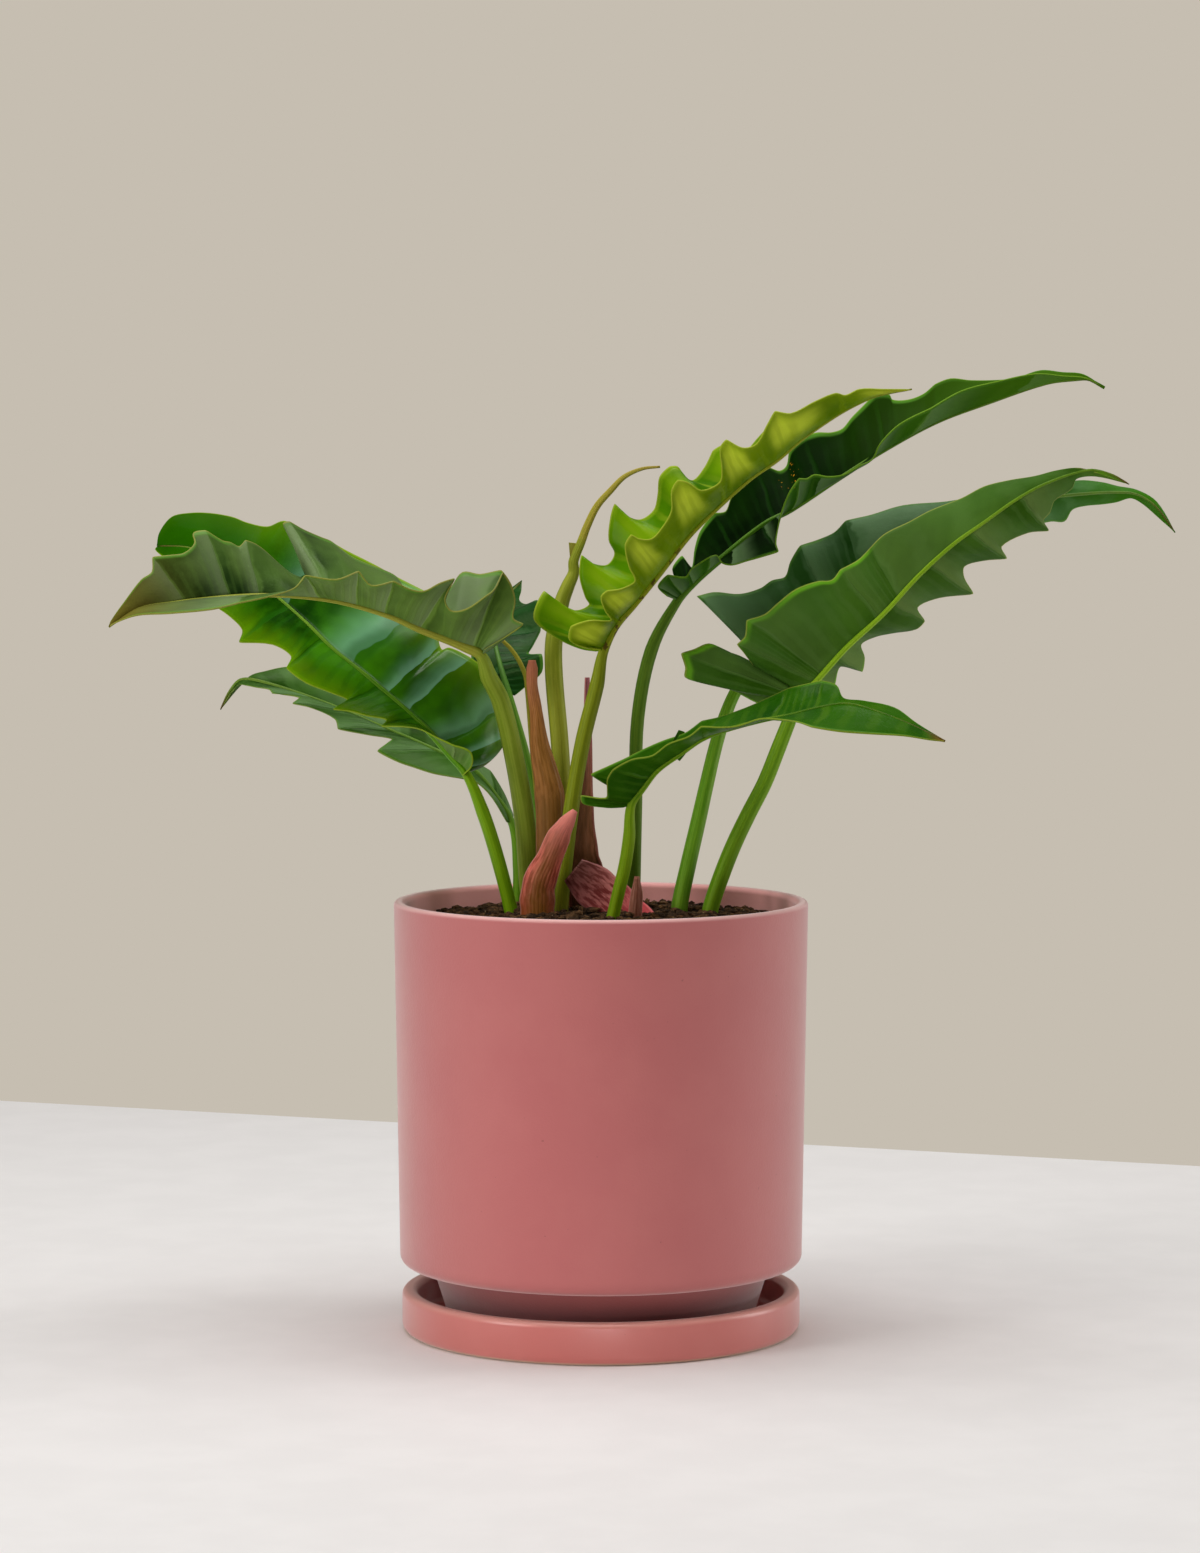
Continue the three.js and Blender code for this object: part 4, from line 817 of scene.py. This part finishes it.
def bladeHalf(bm, layers, shape, look, side):
    # A sheet from the midrib to the toothed margin. side +1 is the near half, -1 the far half
    steps, rows = bladeForm["edgeSteps"], bladeForm["rows"]
    spine = smoothCurve([Vector(p) for p in shape["spine"]], bladeForm["spineSteps"])
    lengths = lengthsAlong(spine)
    chord = sum((Vector(b) - Vector(a)).length for a, b in zip(shape["spine"], shape["spine"][1:]))
    margin = shape["near" if side > 0 else "far"] + [[chord * 0.999, *shape["spine"][-1]]]
    feet = [min(row[0] / chord, 0.999) * lengths[-1] for row in margin]
    starts = [pointAt(spine, lengths, d) for d in feet]
    edges = [Vector(row[1:]) for row in margin]
    last = len(margin) - 1
    middles = [(a + b) / 2 for a, b in zip(starts, edges)]
    raw = [(middles[min(i + 1, last)] - middles[max(i - 1, 0)]).cross(edges[i] - starts[i]).normalized()
           for i in range(last + 1)]
    facing = [(raw[i] * 2 + raw[max(i - 1, 0)] + raw[min(i + 1, last)]).normalized() for i in range(last + 1)]
    reach = [(b - a).length for a, b in zip(starts, edges)]
    teeth = [0 < i < last and reach[i] >= reach[i - 1] and reach[i] > reach[i + 1] for i in range(last + 1)]
    edgeLine = smoothCurve(edges, steps, teeth)
    # Lateral veins are counted so that one ends in each tooth
    stops = [0] + [i for i in range(last + 1) if teeth[i]] + [last]
    counts = []
    for i in range(last + 1):
        k = max(n for n in range(len(stops)) if stops[n] <= i)
        gap = stops[min(k + 1, len(stops) - 1)] - stops[k]
        counts.append(k + (i - stops[k]) / max(gap, 1))
    up = side * look["up"]

    def veinCount(i):
        return valueAt(counts, i, steps) + look["phase"]

    def place(i, j):
        v = j / rows
        foot = pointAt(spine, lengths, valueAt(feet, i, steps))
        out = edgeLine[i] - foot
        normal = valueAt(facing, i, steps).normalized()
        wide = out.length
        bow = 4 * v * (1 - v)
        pillow = abs(math.sin(math.pi * veinCount(i)))
        lift = side * bladeForm["bow"] * wide * bow
        lift += (up * look["quilt"] * (pillow - 0.5) * math.sin(math.pi * min(v * 1.15, 1.0))
                 * min(wide / bladeForm["fullWidth"], 1.0))
        point = foot + out * v + normal * lift
        ripple = noise.noise(point * bladeForm["rippleScale"]) * bladeForm["ripple"] * bow
        return (point + normal * ripple) * mm

    gridSheet(bm, layers, last * steps, rows, place, lambda i, j: (side * veinCount(i), j / rows),
              lambda i, j: valueAt(feet, i, steps) / lengths[-1], flip=up < 0)


def buildStem(name, node, points, widths, look, section, turn, span, tipRadius=None):
    # A tube whose along value is 0 to 1 up to the turn, counted in points, and 1 to 2 over the span after it
    steps = stemForm["steps"]
    line = smoothCurve(bury(points, stemForm["buried"]), steps)
    radii = [valueAt([widths[0]] + widths, j, steps) * mm for j in range(len(line))]
    if tipRadius:
        radii[-1] = tipRadius * mm

    def alongAt(j):
        k = j / steps
        return k / turn if k <= turn else 1 + (k - turn) / span

    bm, layers = newSheet()
    tubeSheet(bm, layers, [p * mm for p in line], radii, section, alongAt)
    finishPiece(name, bm, [stemMaterial(name, look)], node)


def buildLeaf(node, shape):
    look = {**plainLeaf, **leafLooks[node]}
    label = pieceName(node)
    bm, layers = newSheet()
    for side in (1, -1):
        bladeHalf(bm, layers, shape, look, side)
    materials = []
    for face in ("top", "under"):
        colours = dict(zip(("deep", "light", "outer", "vein", "bulge"), look[face]))
        faceLook = {**look, **colours, "rough": look[face + "Rough"]}
        materials.append(bladeMaterial(label + face.capitalize(), faceLook, face))
    blade = finishPiece(label + "Blade", bm, materials, node)
    solid = thicken(blade, bladeForm["thickness"])
    solid.material_offset = 1
    solid.material_offset_rim = 1

    last = len(shape["spine"]) - 1
    points = [Vector(p[:3]) for p in shape["petiole"] + shape["spine"]]
    widths = [p[3] for p in shape["petiole"]]
    widths += [mix(shape["ribRadius"] * look["ribShare"], stemForm["ribEnd"], (k / last) ** 0.6)
               for k in range(last + 1)]
    buildStem(label + "Stem", node, points, widths, look,
              lambda angle, j: 1.0 + 0.025 * math.cos(5 * angle + 0.05 * j),  # five soft ridges
              turn=len(shape["petiole"]) + 1, span=last, tipRadius=stemForm["tipRadius"])


for node, shape in leafShapes.items():
    buildLeaf(node, shape)
print("leaves made:", len(leafShapes))

# Sheaths left by older leaves: [x, y, z, half width] up the middle of each, in millimetres
sheathShapes = {
    # edge is the colour of a painted highlight along both edges of a sheath
    "sheath_front_red": {
        "wrap": 120, "face": (0, -1), "rows": [
            [-32, -20, 214, 8.4], [-32, -20, 221, 8.4], [-31, -20, 229, 8], [-26, -21, 241, 6.4],
            [-21, -23, 253, 5.4], [-17, -24, 260, 3.6], [-13, -25, 266, 1]],
        "deep": "8c2c20", "light": "ee7a6c", "foot": "9a4410", "tip": "f8948a", "tipFrom": 0.5, "ribs": 11,
        "patch": "5e4a14", "patchShare": 0.5, "middle": "7a5818", "middleShare": 0.6,
        "edge": "f8b8ac", "edgeShare": 0.5,
    },
    "sheath_tall_brown": {
        "wrap": 110, "face": (0, -1), "rows": [
            [-24, 4, 214, 8], [-25, 4, 244, 7.6], [-26, 4, 269, 7.2], [-27, 4, 278, 6.6], [-31, 5, 296, 4.5],
            [-33, 7, 314, 2.8], [-35, 9, 327, 2.5], [-35, 10, 336, 2.4], [-35, 10, 340, 1.4]],
        "deep": "80501c", "light": "aa7038", "foot": "64441a", "tip": "c07058", "tipFrom": 0.6, "ribs": 8,
        "patch": "6c5c18", "patchShare": 0.2, "middle": "7c5a1c", "middleShare": 0.2,
        "edge": "c07858", "edgeShare": 0.3,
    },
    "sheath_slim_brown": {
        "wrap": 110, "face": (0, 1), "rows": [
            [-7, 16, 214, 9], [-8, 15, 234, 8.4], [-9, 15, 241, 7.4], [-9, 15, 255, 5.6], [-8, 15, 273, 3.4],
            [-7, 15, 293, 2.2], [-7, 15, 314, 1.4], [-7, 15, 331, 0.8]],
        "deep": "683e20", "light": "966044", "foot": "4c3018", "tip": "a86470", "tipFrom": 0.6, "ribs": 8,
        "patch": "54401c", "patchShare": 0.4, "middle": "6a4a24", "middleShare": 0.3,
        "edge": "c0706c", "edgeShare": 0.4,
    },
    "sheath_pink_ribbed": {
        "wrap": 70, "face": (0, -1), "rows": [
            [12, -12, 212, 11], [5, -12.5, 219, 11], [-2, -13, 225, 11], [-8, -13.5, 230, 10],
            [-14, -14, 235, 6.5]],
        "deep": "8c2024", "light": "ff9c98", "foot": "ff606c", "tip": "200c04", "tipFrom": 0.2, "ribs": 12,
        "patch": "5c221a", "patchShare": 0.1, "middle": "803228", "middleShare": 0.0,
        "edge": "ffaaa8", "edgeShare": 0.25,
    },
    "sheath_small_pink": {
        "wrap": 100, "face": (0, -1), "rows": [[17, -26, 213, 3.3], [18, -26, 225, 2.6], [18, -26, 233, 0.8]],
        "deep": "96504a", "light": "bc7c70", "foot": "74402e", "tip": "9c6250", "tipFrom": 0.6, "ribs": 5,
        "patch": "7a5a30", "patchShare": 0.4, "middle": "7a4a30", "middleShare": 0.2,
        "edge": "d8a094", "edgeShare": 0.6,
    },
}
sheathForm = {"thickness": 1.1, "buried": 10, "flare": 0.03, "steps": 6, "columns": 16}


def sheathMaterial(name, look):
    # Streaked and ribbed, with its own colour at the foot, up the middle and at the tip, and a painted
    # highlight on both edges
    material, tree, shader = newMaterial(name, 0.42, specular=0.3, shineTint="ffd8c0")
    uv, along = coordinates(tree, "UV"), alongValue(tree)
    fromMiddle = addMath(tree, "ABSOLUTE", addMath(tree, "SUBTRACT", splitAxes(tree, uv)["X"], 0.5))
    streaks = useGroup(tree, "streaks", UV=uv, Count=look["ribs"])
    patches = useGroup(tree, "mottle", Place=coordinates(tree))
    base = addMix(tree, addRange(tree, streaks["Streak"], 0.0, 1.0, 0.15, 0.95), tint(look["deep"]),
                  tint(look["light"]))
    middle = times(tree, addRange(tree, fromMiddle, 0.05, 0.4, look["middleShare"], 0.0),
                   addRange(tree, along, 0.5, 0.9, 1.0, 0.0))
    base = paint(tree, base, [
        (addRange(tree, along, 0.1, 0.5, 0.85, 0.0), look["foot"]),
        (times(tree, patches["Small"], 0.2), look["light"]),
        (times(tree, patches["Broad"], look["patchShare"]), look["patch"]),
        (middle, look["middle"]),
        (addRange(tree, along, look["tipFrom"], 1.0, 0.0, 0.85), look["tip"]),
        # pale edge colour: painted highlight along both edges
        (addRange(tree, fromMiddle, 0.43, 0.5, 0.0, look["edgeShare"]), look["edge"]),
    ])
    tree.links.new(base, shader.inputs["Base Color"])
    addBump(tree, shader, [(streaks["Rib"], 0.8), (patches["Small"], 0.3)], 0.35, 0.0006)
    return material


def buildSheath(node, shape):
    # A curved sheet that wraps part of the way round its stem
    steps, columns = sheathForm["steps"], sheathForm["columns"]
    line = smoothCurve(bury([Vector(r[:3]) for r in shape["rows"]], sheathForm["buried"]), steps)
    widths = [shape["rows"][0][3]] + [r[3] for r in shape["rows"]]
    half = math.radians(shape["wrap"] / 2)
    front = Vector((*shape["face"], 0))
    last = len(line) - 1

    def place(i, j):
        side = (line[min(i + 1, last)] - line[max(i - 1, 0)]).cross(front).normalized()
        angle = (2 * j / columns - 1) * half
        radius = valueAt(widths, i, steps) / math.sin(half)
        flare = 1 + sheathForm["flare"] * math.sin(i * 0.7)
        sideways = side * (radius * math.sin(angle) * flare)
        return (line[i] + sideways + front * (radius * (math.cos(angle) - 1))) * mm

    bm, layers = newSheet()
    gridSheet(bm, layers, last, columns, place, lambda i, j: (j / columns, i / steps * 0.8),
              lambda i, j: i / last)
    label = pieceName(node)
    thicken(finishPiece(label, bm, [sheathMaterial(label, shape)], node), sheathForm["thickness"])


for node, shape in sheathShapes.items():
    buildSheath(node, shape)

# Rolled spear of the newest leaf, and a thin dried stalk: [x, y, z, radius] from the soil up.
# turn is the point where the stem's colours change to the rib's, past the end on the thin stalk
stalkShapes = {
    "spear_rolled_leaf": {
        "rows": [
            [-22, 17, 214, 4.6], [-20, 20, 272, 4.6], [-21, 22, 296, 4.6], [-24, 26, 331, 4.6],
            [-24, 28, 350, 4.5], [-20, 30, 369, 3.9], [-17, 30, 377, 3.5], [-14, 30, 384, 2.9],
            [-14, 29, 390, 2.6], [-10, 28, 400, 2.2], [-7, 27, 408, 2], [-2, 26, 418, 1.8], [5, 24, 426, 1.6],
            [12, 22, 433, 1.3], [21, 20, 437, 0.9], [30, 19, 438, 0.6]],
        "stem": "76841a", "stemLight": "acb23c", "rib": "98942a", "ribLight": "baa644", "foot": "7a6828",
        "footShare": 0.6, "tipEnd": "8a5a3c", "ribTip": "a8844c", "ribTipShare": 0.4, "streaks": 16,
        "stemRough": 0.4, "turn": 10, "span": 7,
    },
    "stalk_thin_yellow": {
        "rows": [
            [-27, 34, 214, 1.3], [-28, 34, 221, 1.3], [-35, 36, 288, 1.2], [-38, 38, 324, 1.2],
            [-39, 39, 331, 1.2], [-42, 40, 338, 1.2], [-46, 42, 344, 1.1], [-51, 44, 349, 1]],
        "stem": "8c8c1c", "stemLight": "bcae3a", "rib": "bcae3a", "ribLight": "ccbc58", "foot": "7a7a30",
        "footShare": 0.3, "tipEnd": "b09a50", "ribTip": "b09a50", "ribTipShare": 0.0, "streaks": 10,
        "stemRough": 0.45, "turn": 99, "span": 7,
    },
}
for node, shape in stalkShapes.items():
    points, widths = [Vector(r[:3]) for r in shape["rows"]], [r[3] for r in shape["rows"]]
    buildStem(pieceName(node), node, points, widths, {**plainLeaf, **shape},
              lambda angle, j: 1.0 - 0.1 * max(0.0, math.cos(angle + 1.2)) ** 6,  # one groove down its side
              turn=shape["turn"], span=shape["span"])

# Small papery flag on the spear, and the little lobe behind the front leaf: corners in millimetres
tags = {
    "spearFlag": {"node": "spear_rolled_leaf", "deep": "9a9436", "light": "a8a850", "corners": [
        (-12.5, 28.5, 386), (-12, 28, 393), (-11, 27.5, 399), (-16.5, 27, 399.5), (-16, 27.5, 393),
        (-15.5, 28, 388.5)]},
    "frontLobe": {"node": "leaf_front_small", "deep": "2a5a06", "light": "3f7a10", "corners": [
        (34, -46, 296), (36, -45, 303), (38.5, -43, 307.5), (41.5, -42, 306.5), (42.6, -42, 301),
        (42, -43, 295.5), (39, -45, 292)]},
}
tagForm = {"thickness": 0.6, "softEdge": 0.2}


def buildTag(name, tag):
    # A flat piece from its corners, thickened away from the viewer
    bm = bmesh.new()
    face = bm.faces.new([bm.verts.new(Vector(c) * mm) for c in tag["corners"]])
    for made in bmesh.ops.extrude_face_region(bm, geom=[face])["geom"]:
        if isinstance(made, bmesh.types.BMVert):
            made.co.y += tagForm["thickness"] * mm
    bmesh.ops.recalc_face_normals(bm, faces=bm.faces)
    material, tree, shader = newMaterial(name, 0.4, specular=0.25, shineTint="dcff8c")
    patches = useGroup(tree, "mottle", Place=coordinates(tree))
    base = addMix(tree, patches["Small"], tint(tag["deep"]), tint(tag["light"]))
    tree.links.new(base, shader.inputs["Base Color"])
    bevel = finishPiece(name, bm, [material], tag["node"], smooth=False).modifiers.new("softEdge", "BEVEL")
    bevel.width = tagForm["softEdge"] * mm
    bevel.segments = 2


for name, tag in tags.items():
    buildTag(name, tag)
print("sheaths and stalks made")

# Pot with a straight wall, rounded lip and heel and a recessed foot, and saucer with a thick rounded lip.
# Both are turned, in millimetres
potShape = {"rimRadius": 105, "rimHeight": 218.7, "heelRadius": 102.3, "heelHeight": 34, "heelRound": 5,
            "wall": 6, "footTop": 86.5, "footBase": 78, "foot": 5.35, "drain": 7, "floor": 8}
saucerShape = {"radius": 101.3, "base": 99.5, "height": 20.9, "wall": 8.4, "floor": 5,
               "lipOutside": 3.2, "lipInside": 3.6}


def potProfile(rimRadius, rimHeight, heelRadius, heelHeight, heelRound, wall, footTop, footBase, foot, drain,
               floor):
    lip, step = wall / 2, heelHeight + floor
    return [
        (drain, foot), (footBase - 2, foot), (footBase - 0.6, foot + 0.6), (footBase, foot + 2),
        (footTop - 0.6, heelHeight - 1.5), (footTop + 0.6, heelHeight),
        *roundCorner(heelRadius - heelRound, heelHeight + heelRound, heelRound, -90, 0, 10),
        *roundCorner(rimRadius - lip * 0.7, rimHeight - lip * 0.7, lip * 0.7, 0, 90, 8),
        *roundCorner(rimRadius - wall + lip, rimHeight - lip, lip, 90, 180, 8),
        (heelRadius - wall, step + 4), (heelRadius - wall - 4, step), (footTop - wall, step),
        (footBase - wall, foot + floor), (drain, foot + floor),
    ]


def saucerProfile(radius, base, height, wall, floor, lipOutside, lipInside):
    inner = radius - wall
    return [
        (0, 0), (base - 0.8, 0), (base, 0.5), (radius - 0.4, 2.2), (radius, 4),
        *roundCorner(radius - lipOutside, height - lipOutside, lipOutside, 0, 90, 8),
        *roundCorner(inner + lipInside, height - lipInside, lipInside, 90, 180, 8),
        (inner - 0.4, floor + 3.4), (inner - 1.3, floor + 1), (inner - 3.4, floor), (0, floor),
    ]


def clayMaterial(name, look):
    # Pink coat over clay: faint patches, painted highlight and shade bands by height, the wall's inside
    # painted lighter in the pot and darker in the saucer, a bare line below, pinholes
    material, tree, shader = newMaterial(name, look["rough"], look["specular"], look["sheenTint"],
                                         look["coat"], look["sheen"], coatRoughness=0.3)
    place = coordinates(tree)
    patches = useGroup(tree, "mottle", Place=place)
    axes = splitAxes(tree, place)
    # Bands by height: a painted highlight on each lip, and painted shade on the pot's foot
    layers = [(addRange(tree, axes["Z"], low, high, 0.0, share), code)
              for low, high, code, share in look["bands"]]
    # Inside tint: painted light on the pot's inner wall, made paler, and painted shade on the saucer's floor,
    # a little darker
    within = addRange(tree, hypotenuse(tree, axes["X"], axes["Y"]), look["inner"] - 0.002, look["inner"],
                      look["paintedInsideShare"], 0.0)
    above = addRange(tree, axes["Z"], look["innerFrom"], look["innerFrom"] + 0.01)
    layers += [
        (times(tree, within, above), look["paintedInsideTint"]),
        (addRange(tree, axes["Z"], 0.0004, 0.0016, look["bare"], 0.0), look["bareTint"]),
        (addRange(tree, addNoise(tree, place, 420, 1.0), 0.79, 0.82, 0.0, look["dots"]), look["dotTint"]),
    ]
    base = addMix(tree, patches["Broad"], tint(look["deep"]), tint(look["light"]))
    tree.links.new(paint(tree, base, layers), shader.inputs["Base Color"])
    rough = plus(tree, times(tree, patches["Small"], look["blotch"]), look["rough"])
    tree.links.new(rough, shader.inputs["Roughness"])
    heights = [(patches["Grain"], look["grain"]), (patches["Small"], look["lumps"])]
    addBump(tree, shader, heights, 0.25, 0.0003)
    return material


# A band is two heights in metres, its colour and its share, and the inside tint lies within the radius inner
# The pale band on each lip is a painted highlight, and the dark bands low on the pot's foot are painted
# shade, darker towards the bottom
potLook = {
    "rough": 0.6, "blotch": 0.06, "coat": 0.0, "specular": 0.35, "sheen": 0.85, "sheenTint": "fdf0f0",
    "deep": "bb6767", "light": "be6b6a", "bare": 0.0, "bareTint": "d8b79a", "dots": 0.35, "dotTint": "6a3532",
    # The pale inside tint of the pot is painted light on its inner wall
    "grain": 0.35, "lumps": 0.3, "inner": 0.1015, "innerFrom": 0.06, "paintedInsideShare": 1.0, "paintedInsideTint": "ffaeac",
    "bands": [(0.2165, 0.2185, "ecb8b4", 0.8), (0.042, 0.03, "8c4846", 0.6), (0.031, 0.02, "4e2428", 0.6)],
}
saucerLook = {
    "rough": 0.3, "blotch": 0.01, "coat": 0.6, "specular": 0.5, "sheen": 0.35, "sheenTint": "fbe6e4",
    "deep": "c86c66", "light": "cb726c", "bare": 0.9, "bareTint": "d8b79a", "dots": 0.3, "dotTint": "6a3532",
    # The slightly darker inside tint of the saucer is painted shade on its floor
    "grain": 0.1, "lumps": 0.04, "inner": 0.094, "innerFrom": 0.0, "paintedInsideShare": 0.2, "paintedInsideTint": "c46a62",
    "bands": [(0.0175, 0.0205, "e8aca0", 0.6)],
}
turned = {
    "pot": (potProfile(**potShape), "potClay", potLook),
    "saucer": (saucerProfile(**saucerShape), "saucerGlaze", saucerLook),
}
for node, (profile, label, look) in turned.items():
    finishPiece(node + "Turned", spinProfile(profile), [clayMaterial(label, look)], node)
print("pot and saucer made")

# Soil: a lumpy mound, with bark and grit lying on it, in millimetres
soilShape = {"centre": 213.5, "edge": 207.5, "radius": 98.2, "lump": 2.6, "rings": 60, "crumbs": 1300,
             "reach": 96, "scatter": 3, "smallest": 1.0, "growth": 2.4, "goldenAngle": 2.39996}
soilLooks = {
    "soilCrumb": {"dark": "1c1208", "light": "5a3c20", "spot": "a8865a"},
    "soilBark": {"dark": "2c1c0c", "light": "a0744a", "spot": "ccb48a"},
}


def soilHeight(x, y):
    r = math.hypot(x, y) / soilShape["radius"]
    base = mix(soilShape["centre"], soilShape["edge"], min(r, 1) ** 2)
    rough = noise.fractal(Vector((x, y, 3.7)) * 0.16, 0.9, 2.2, 5)
    return base + soilShape["lump"] * rough * 0.8 - 0.4


def soilMaterial(name):
    # Fibrous crumbs in two browns, with dark clods and pale flecks
    look = soilLooks[name]
    material, tree, shader = newMaterial(name, 0.95, specular=0.25)
    place = coordinates(tree)
    patches = useGroup(tree, "mottle", Place=place)
    fibre = addRange(tree, addNoise(tree, place, 260, 5.0, 0.65), 0.3, 0.75)
    base = paint(tree, addMix(tree, fibre, tint(look["dark"]), tint(look["light"])), [
        (times(tree, patches["Small"], 0.5), look["dark"]),
        (addRange(tree, addNoise(tree, place, 170, 1.0), 0.42, 0.56, 0.75, 0.0), look["dark"]),
        (addRange(tree, addNoise(tree, place, 520, 1.0), 0.72, 0.76, 0.0, 0.6), look["spot"]),
    ])
    tree.links.new(base, shader.inputs["Base Color"])
    addBump(tree, shader, [(fibre, 1.0), (patches["Grain"], 1.0)], 0.9, 0.0012)
    return material


def soilMound():
    # Its underside follows the pot's floor, and its top is lumpy
    underside = [(0, 15), (soilShape["radius"] - 28, 15), (80, 42.4), (92, 42.4), (95.5, 47)]
    rings = [soilShape["radius"] * (1 - k / soilShape["rings"]) for k in range(soilShape["rings"])]
    bm = spinProfile(underside + [(r, soilShape["centre"]) for r in rings + [0]], 160)
    for vert in bm.verts:
        if vert.co.z > 0.2:  # on the top
            vert.co.z = soilHeight(vert.co.x / mm, vert.co.y / mm) * mm
    finishPiece("soilMound", bm, [soilMaterial("soilCrumb")], "soil")


def soilCrumbs():
    # Squashed little balls laid out in a sunflower spiral
    bm = bmesh.new()
    for k in range(soilShape["crumbs"]):
        angle = k * soilShape["goldenAngle"]
        away = soilShape["reach"] * math.sqrt((k + 0.5) / soilShape["crumbs"])
        x = away * math.cos(angle) + soilShape["scatter"] * noise.noise(Vector((k * 0.71, 0.3, 0)))
        y = away * math.sin(angle) + soilShape["scatter"] * noise.noise(Vector((0.3, k * 0.53, 0)))
        grown = abs(noise.noise(Vector((k * 0.37, 5.1, 2.2)))) ** 0.8
        size = soilShape["smallest"] + soilShape["growth"] * grown
        crumb = bmesh.ops.create_icosphere(bm, subdivisions=1, radius=size * mm)["verts"]
        turn = noise.noise_vector(Vector((k * 0.9, 1.1, 4.0)))
        stretch = Vector((1.5 + turn.x, 1.2 + turn.y, 0.75))
        for vert in crumb:
            bumpy = 1 + 0.45 * noise.noise(vert.co * 700 + Vector((k, 0, 0)))
            vert.co = vert.co * stretch * bumpy + Vector((x, y, soilHeight(x, y) + 0.25 * size)) * mm
    finishPiece("soilCrumbs", bm, [soilMaterial("soilBark")], "soil", standsForNode=False, smooth=False)


soilMound()
soilCrumbs()
print("soil made")

# Table with its back edge as in the photograph, and a warm grey room
table = {"corners": [(-1.8, -1.8), (1.8, -1.8), (1.8, 0.003), (-1.8, 1.317)], "height": -0.0002,
         "deep": "eae8e8", "light": "edebeb"}
room = {"wall": "c6beb1", "glow": 0.4}
bm = bmesh.new()
bm.faces.new([bm.verts.new((x, y, table["height"])) for x, y in table["corners"]])
tableMesh = bpy.data.meshes.new("tableTop")
bm.to_mesh(tableMesh)
bm.free()
tableTop = bpy.data.objects.new("tableTop", tableMesh)
scene.collection.objects.link(tableTop)
material, tree, shader = newMaterial("tablePaint", 0.6, specular=0.3)
patches = useGroup(tree, "mottle", Place=coordinates(tree))
base = addMix(tree, patches["Broad"], tint(table["deep"]), tint(table["light"]))
tree.links.new(base, shader.inputs["Base Color"])
tableMesh.materials.append(material)

world = bpy.data.worlds.new("room")
scene.world = world
world.use_nodes = True
tree = world.node_tree
back = tree.nodes["Background"]
back.inputs["Color"].default_value = tint(room["wall"])
cameraRay = tree.nodes.new("ShaderNodeLightPath").outputs["Is Camera Ray"]
tree.links.new(addRange(tree, cameraRay, 0.0, 1.0, room["glow"], 1.0), back.inputs["Strength"])

lights = {
    "keyWindow": {"place": (-1.65, -1.1, 0.9), "aim": (0, 0, 0.22), "size": (0.7, 1.1), "spread": 180,
                  "power": 15.5, "colour": (1.0, 0.98, 0.96)},
    "topSoft": {"place": (-0.1, 0.1, 2.3), "aim": (0, 0, 0.2), "size": (1.8, 1.6), "spread": 180,
                "power": 38, "colour": (0.98, 0.99, 1.0)},
    "rightFill": {"place": (1.9, 0.35, 0.7), "aim": (0, 0, 0.2), "size": (0.7, 1.4), "spread": 180,
                  "power": 11, "colour": (1.0, 0.98, 0.97)},
    "lowFill": {"place": (0.05, -1.2, 0.06), "aim": (0, 0, 0.03), "size": (0.8, 0.1), "spread": 30,
                "power": 0.11, "colour": (1.0, 0.98, 0.98)},
}
for name, look in lights.items():
    data = bpy.data.lights.new(name, "AREA")
    data.shape = "RECTANGLE"
    data.size, data.size_y = look["size"]
    data.spread = math.radians(look["spread"])
    data.energy = look["power"]
    data.color = look["colour"]
    lamp = bpy.data.objects.new(name, data)
    lamp.location = look["place"]
    lamp.rotation_euler = (Vector(look["aim"]) - Vector(look["place"])).to_track_quat("-Z", "Y").to_euler()
    scene.collection.objects.link(lamp)

view = {"place": (-0.0005, -2.171, 0.4264), "pitch": 3.82, "lens": 99.59, "sensor": 36, "far": 60}
data = bpy.data.cameras.new("photoCamera")
data.lens = view["lens"]
data.sensor_width = view["sensor"]
data.clip_end = view["far"]
camera = bpy.data.objects.new("photoCamera", data)
camera.location = view["place"]
camera.rotation_euler = (math.radians(90 - view["pitch"]), 0, 0)
scene.collection.objects.link(camera)
scene.camera = camera
scene.view_settings.view_transform = "Standard"
print("stage, lights and camera made")
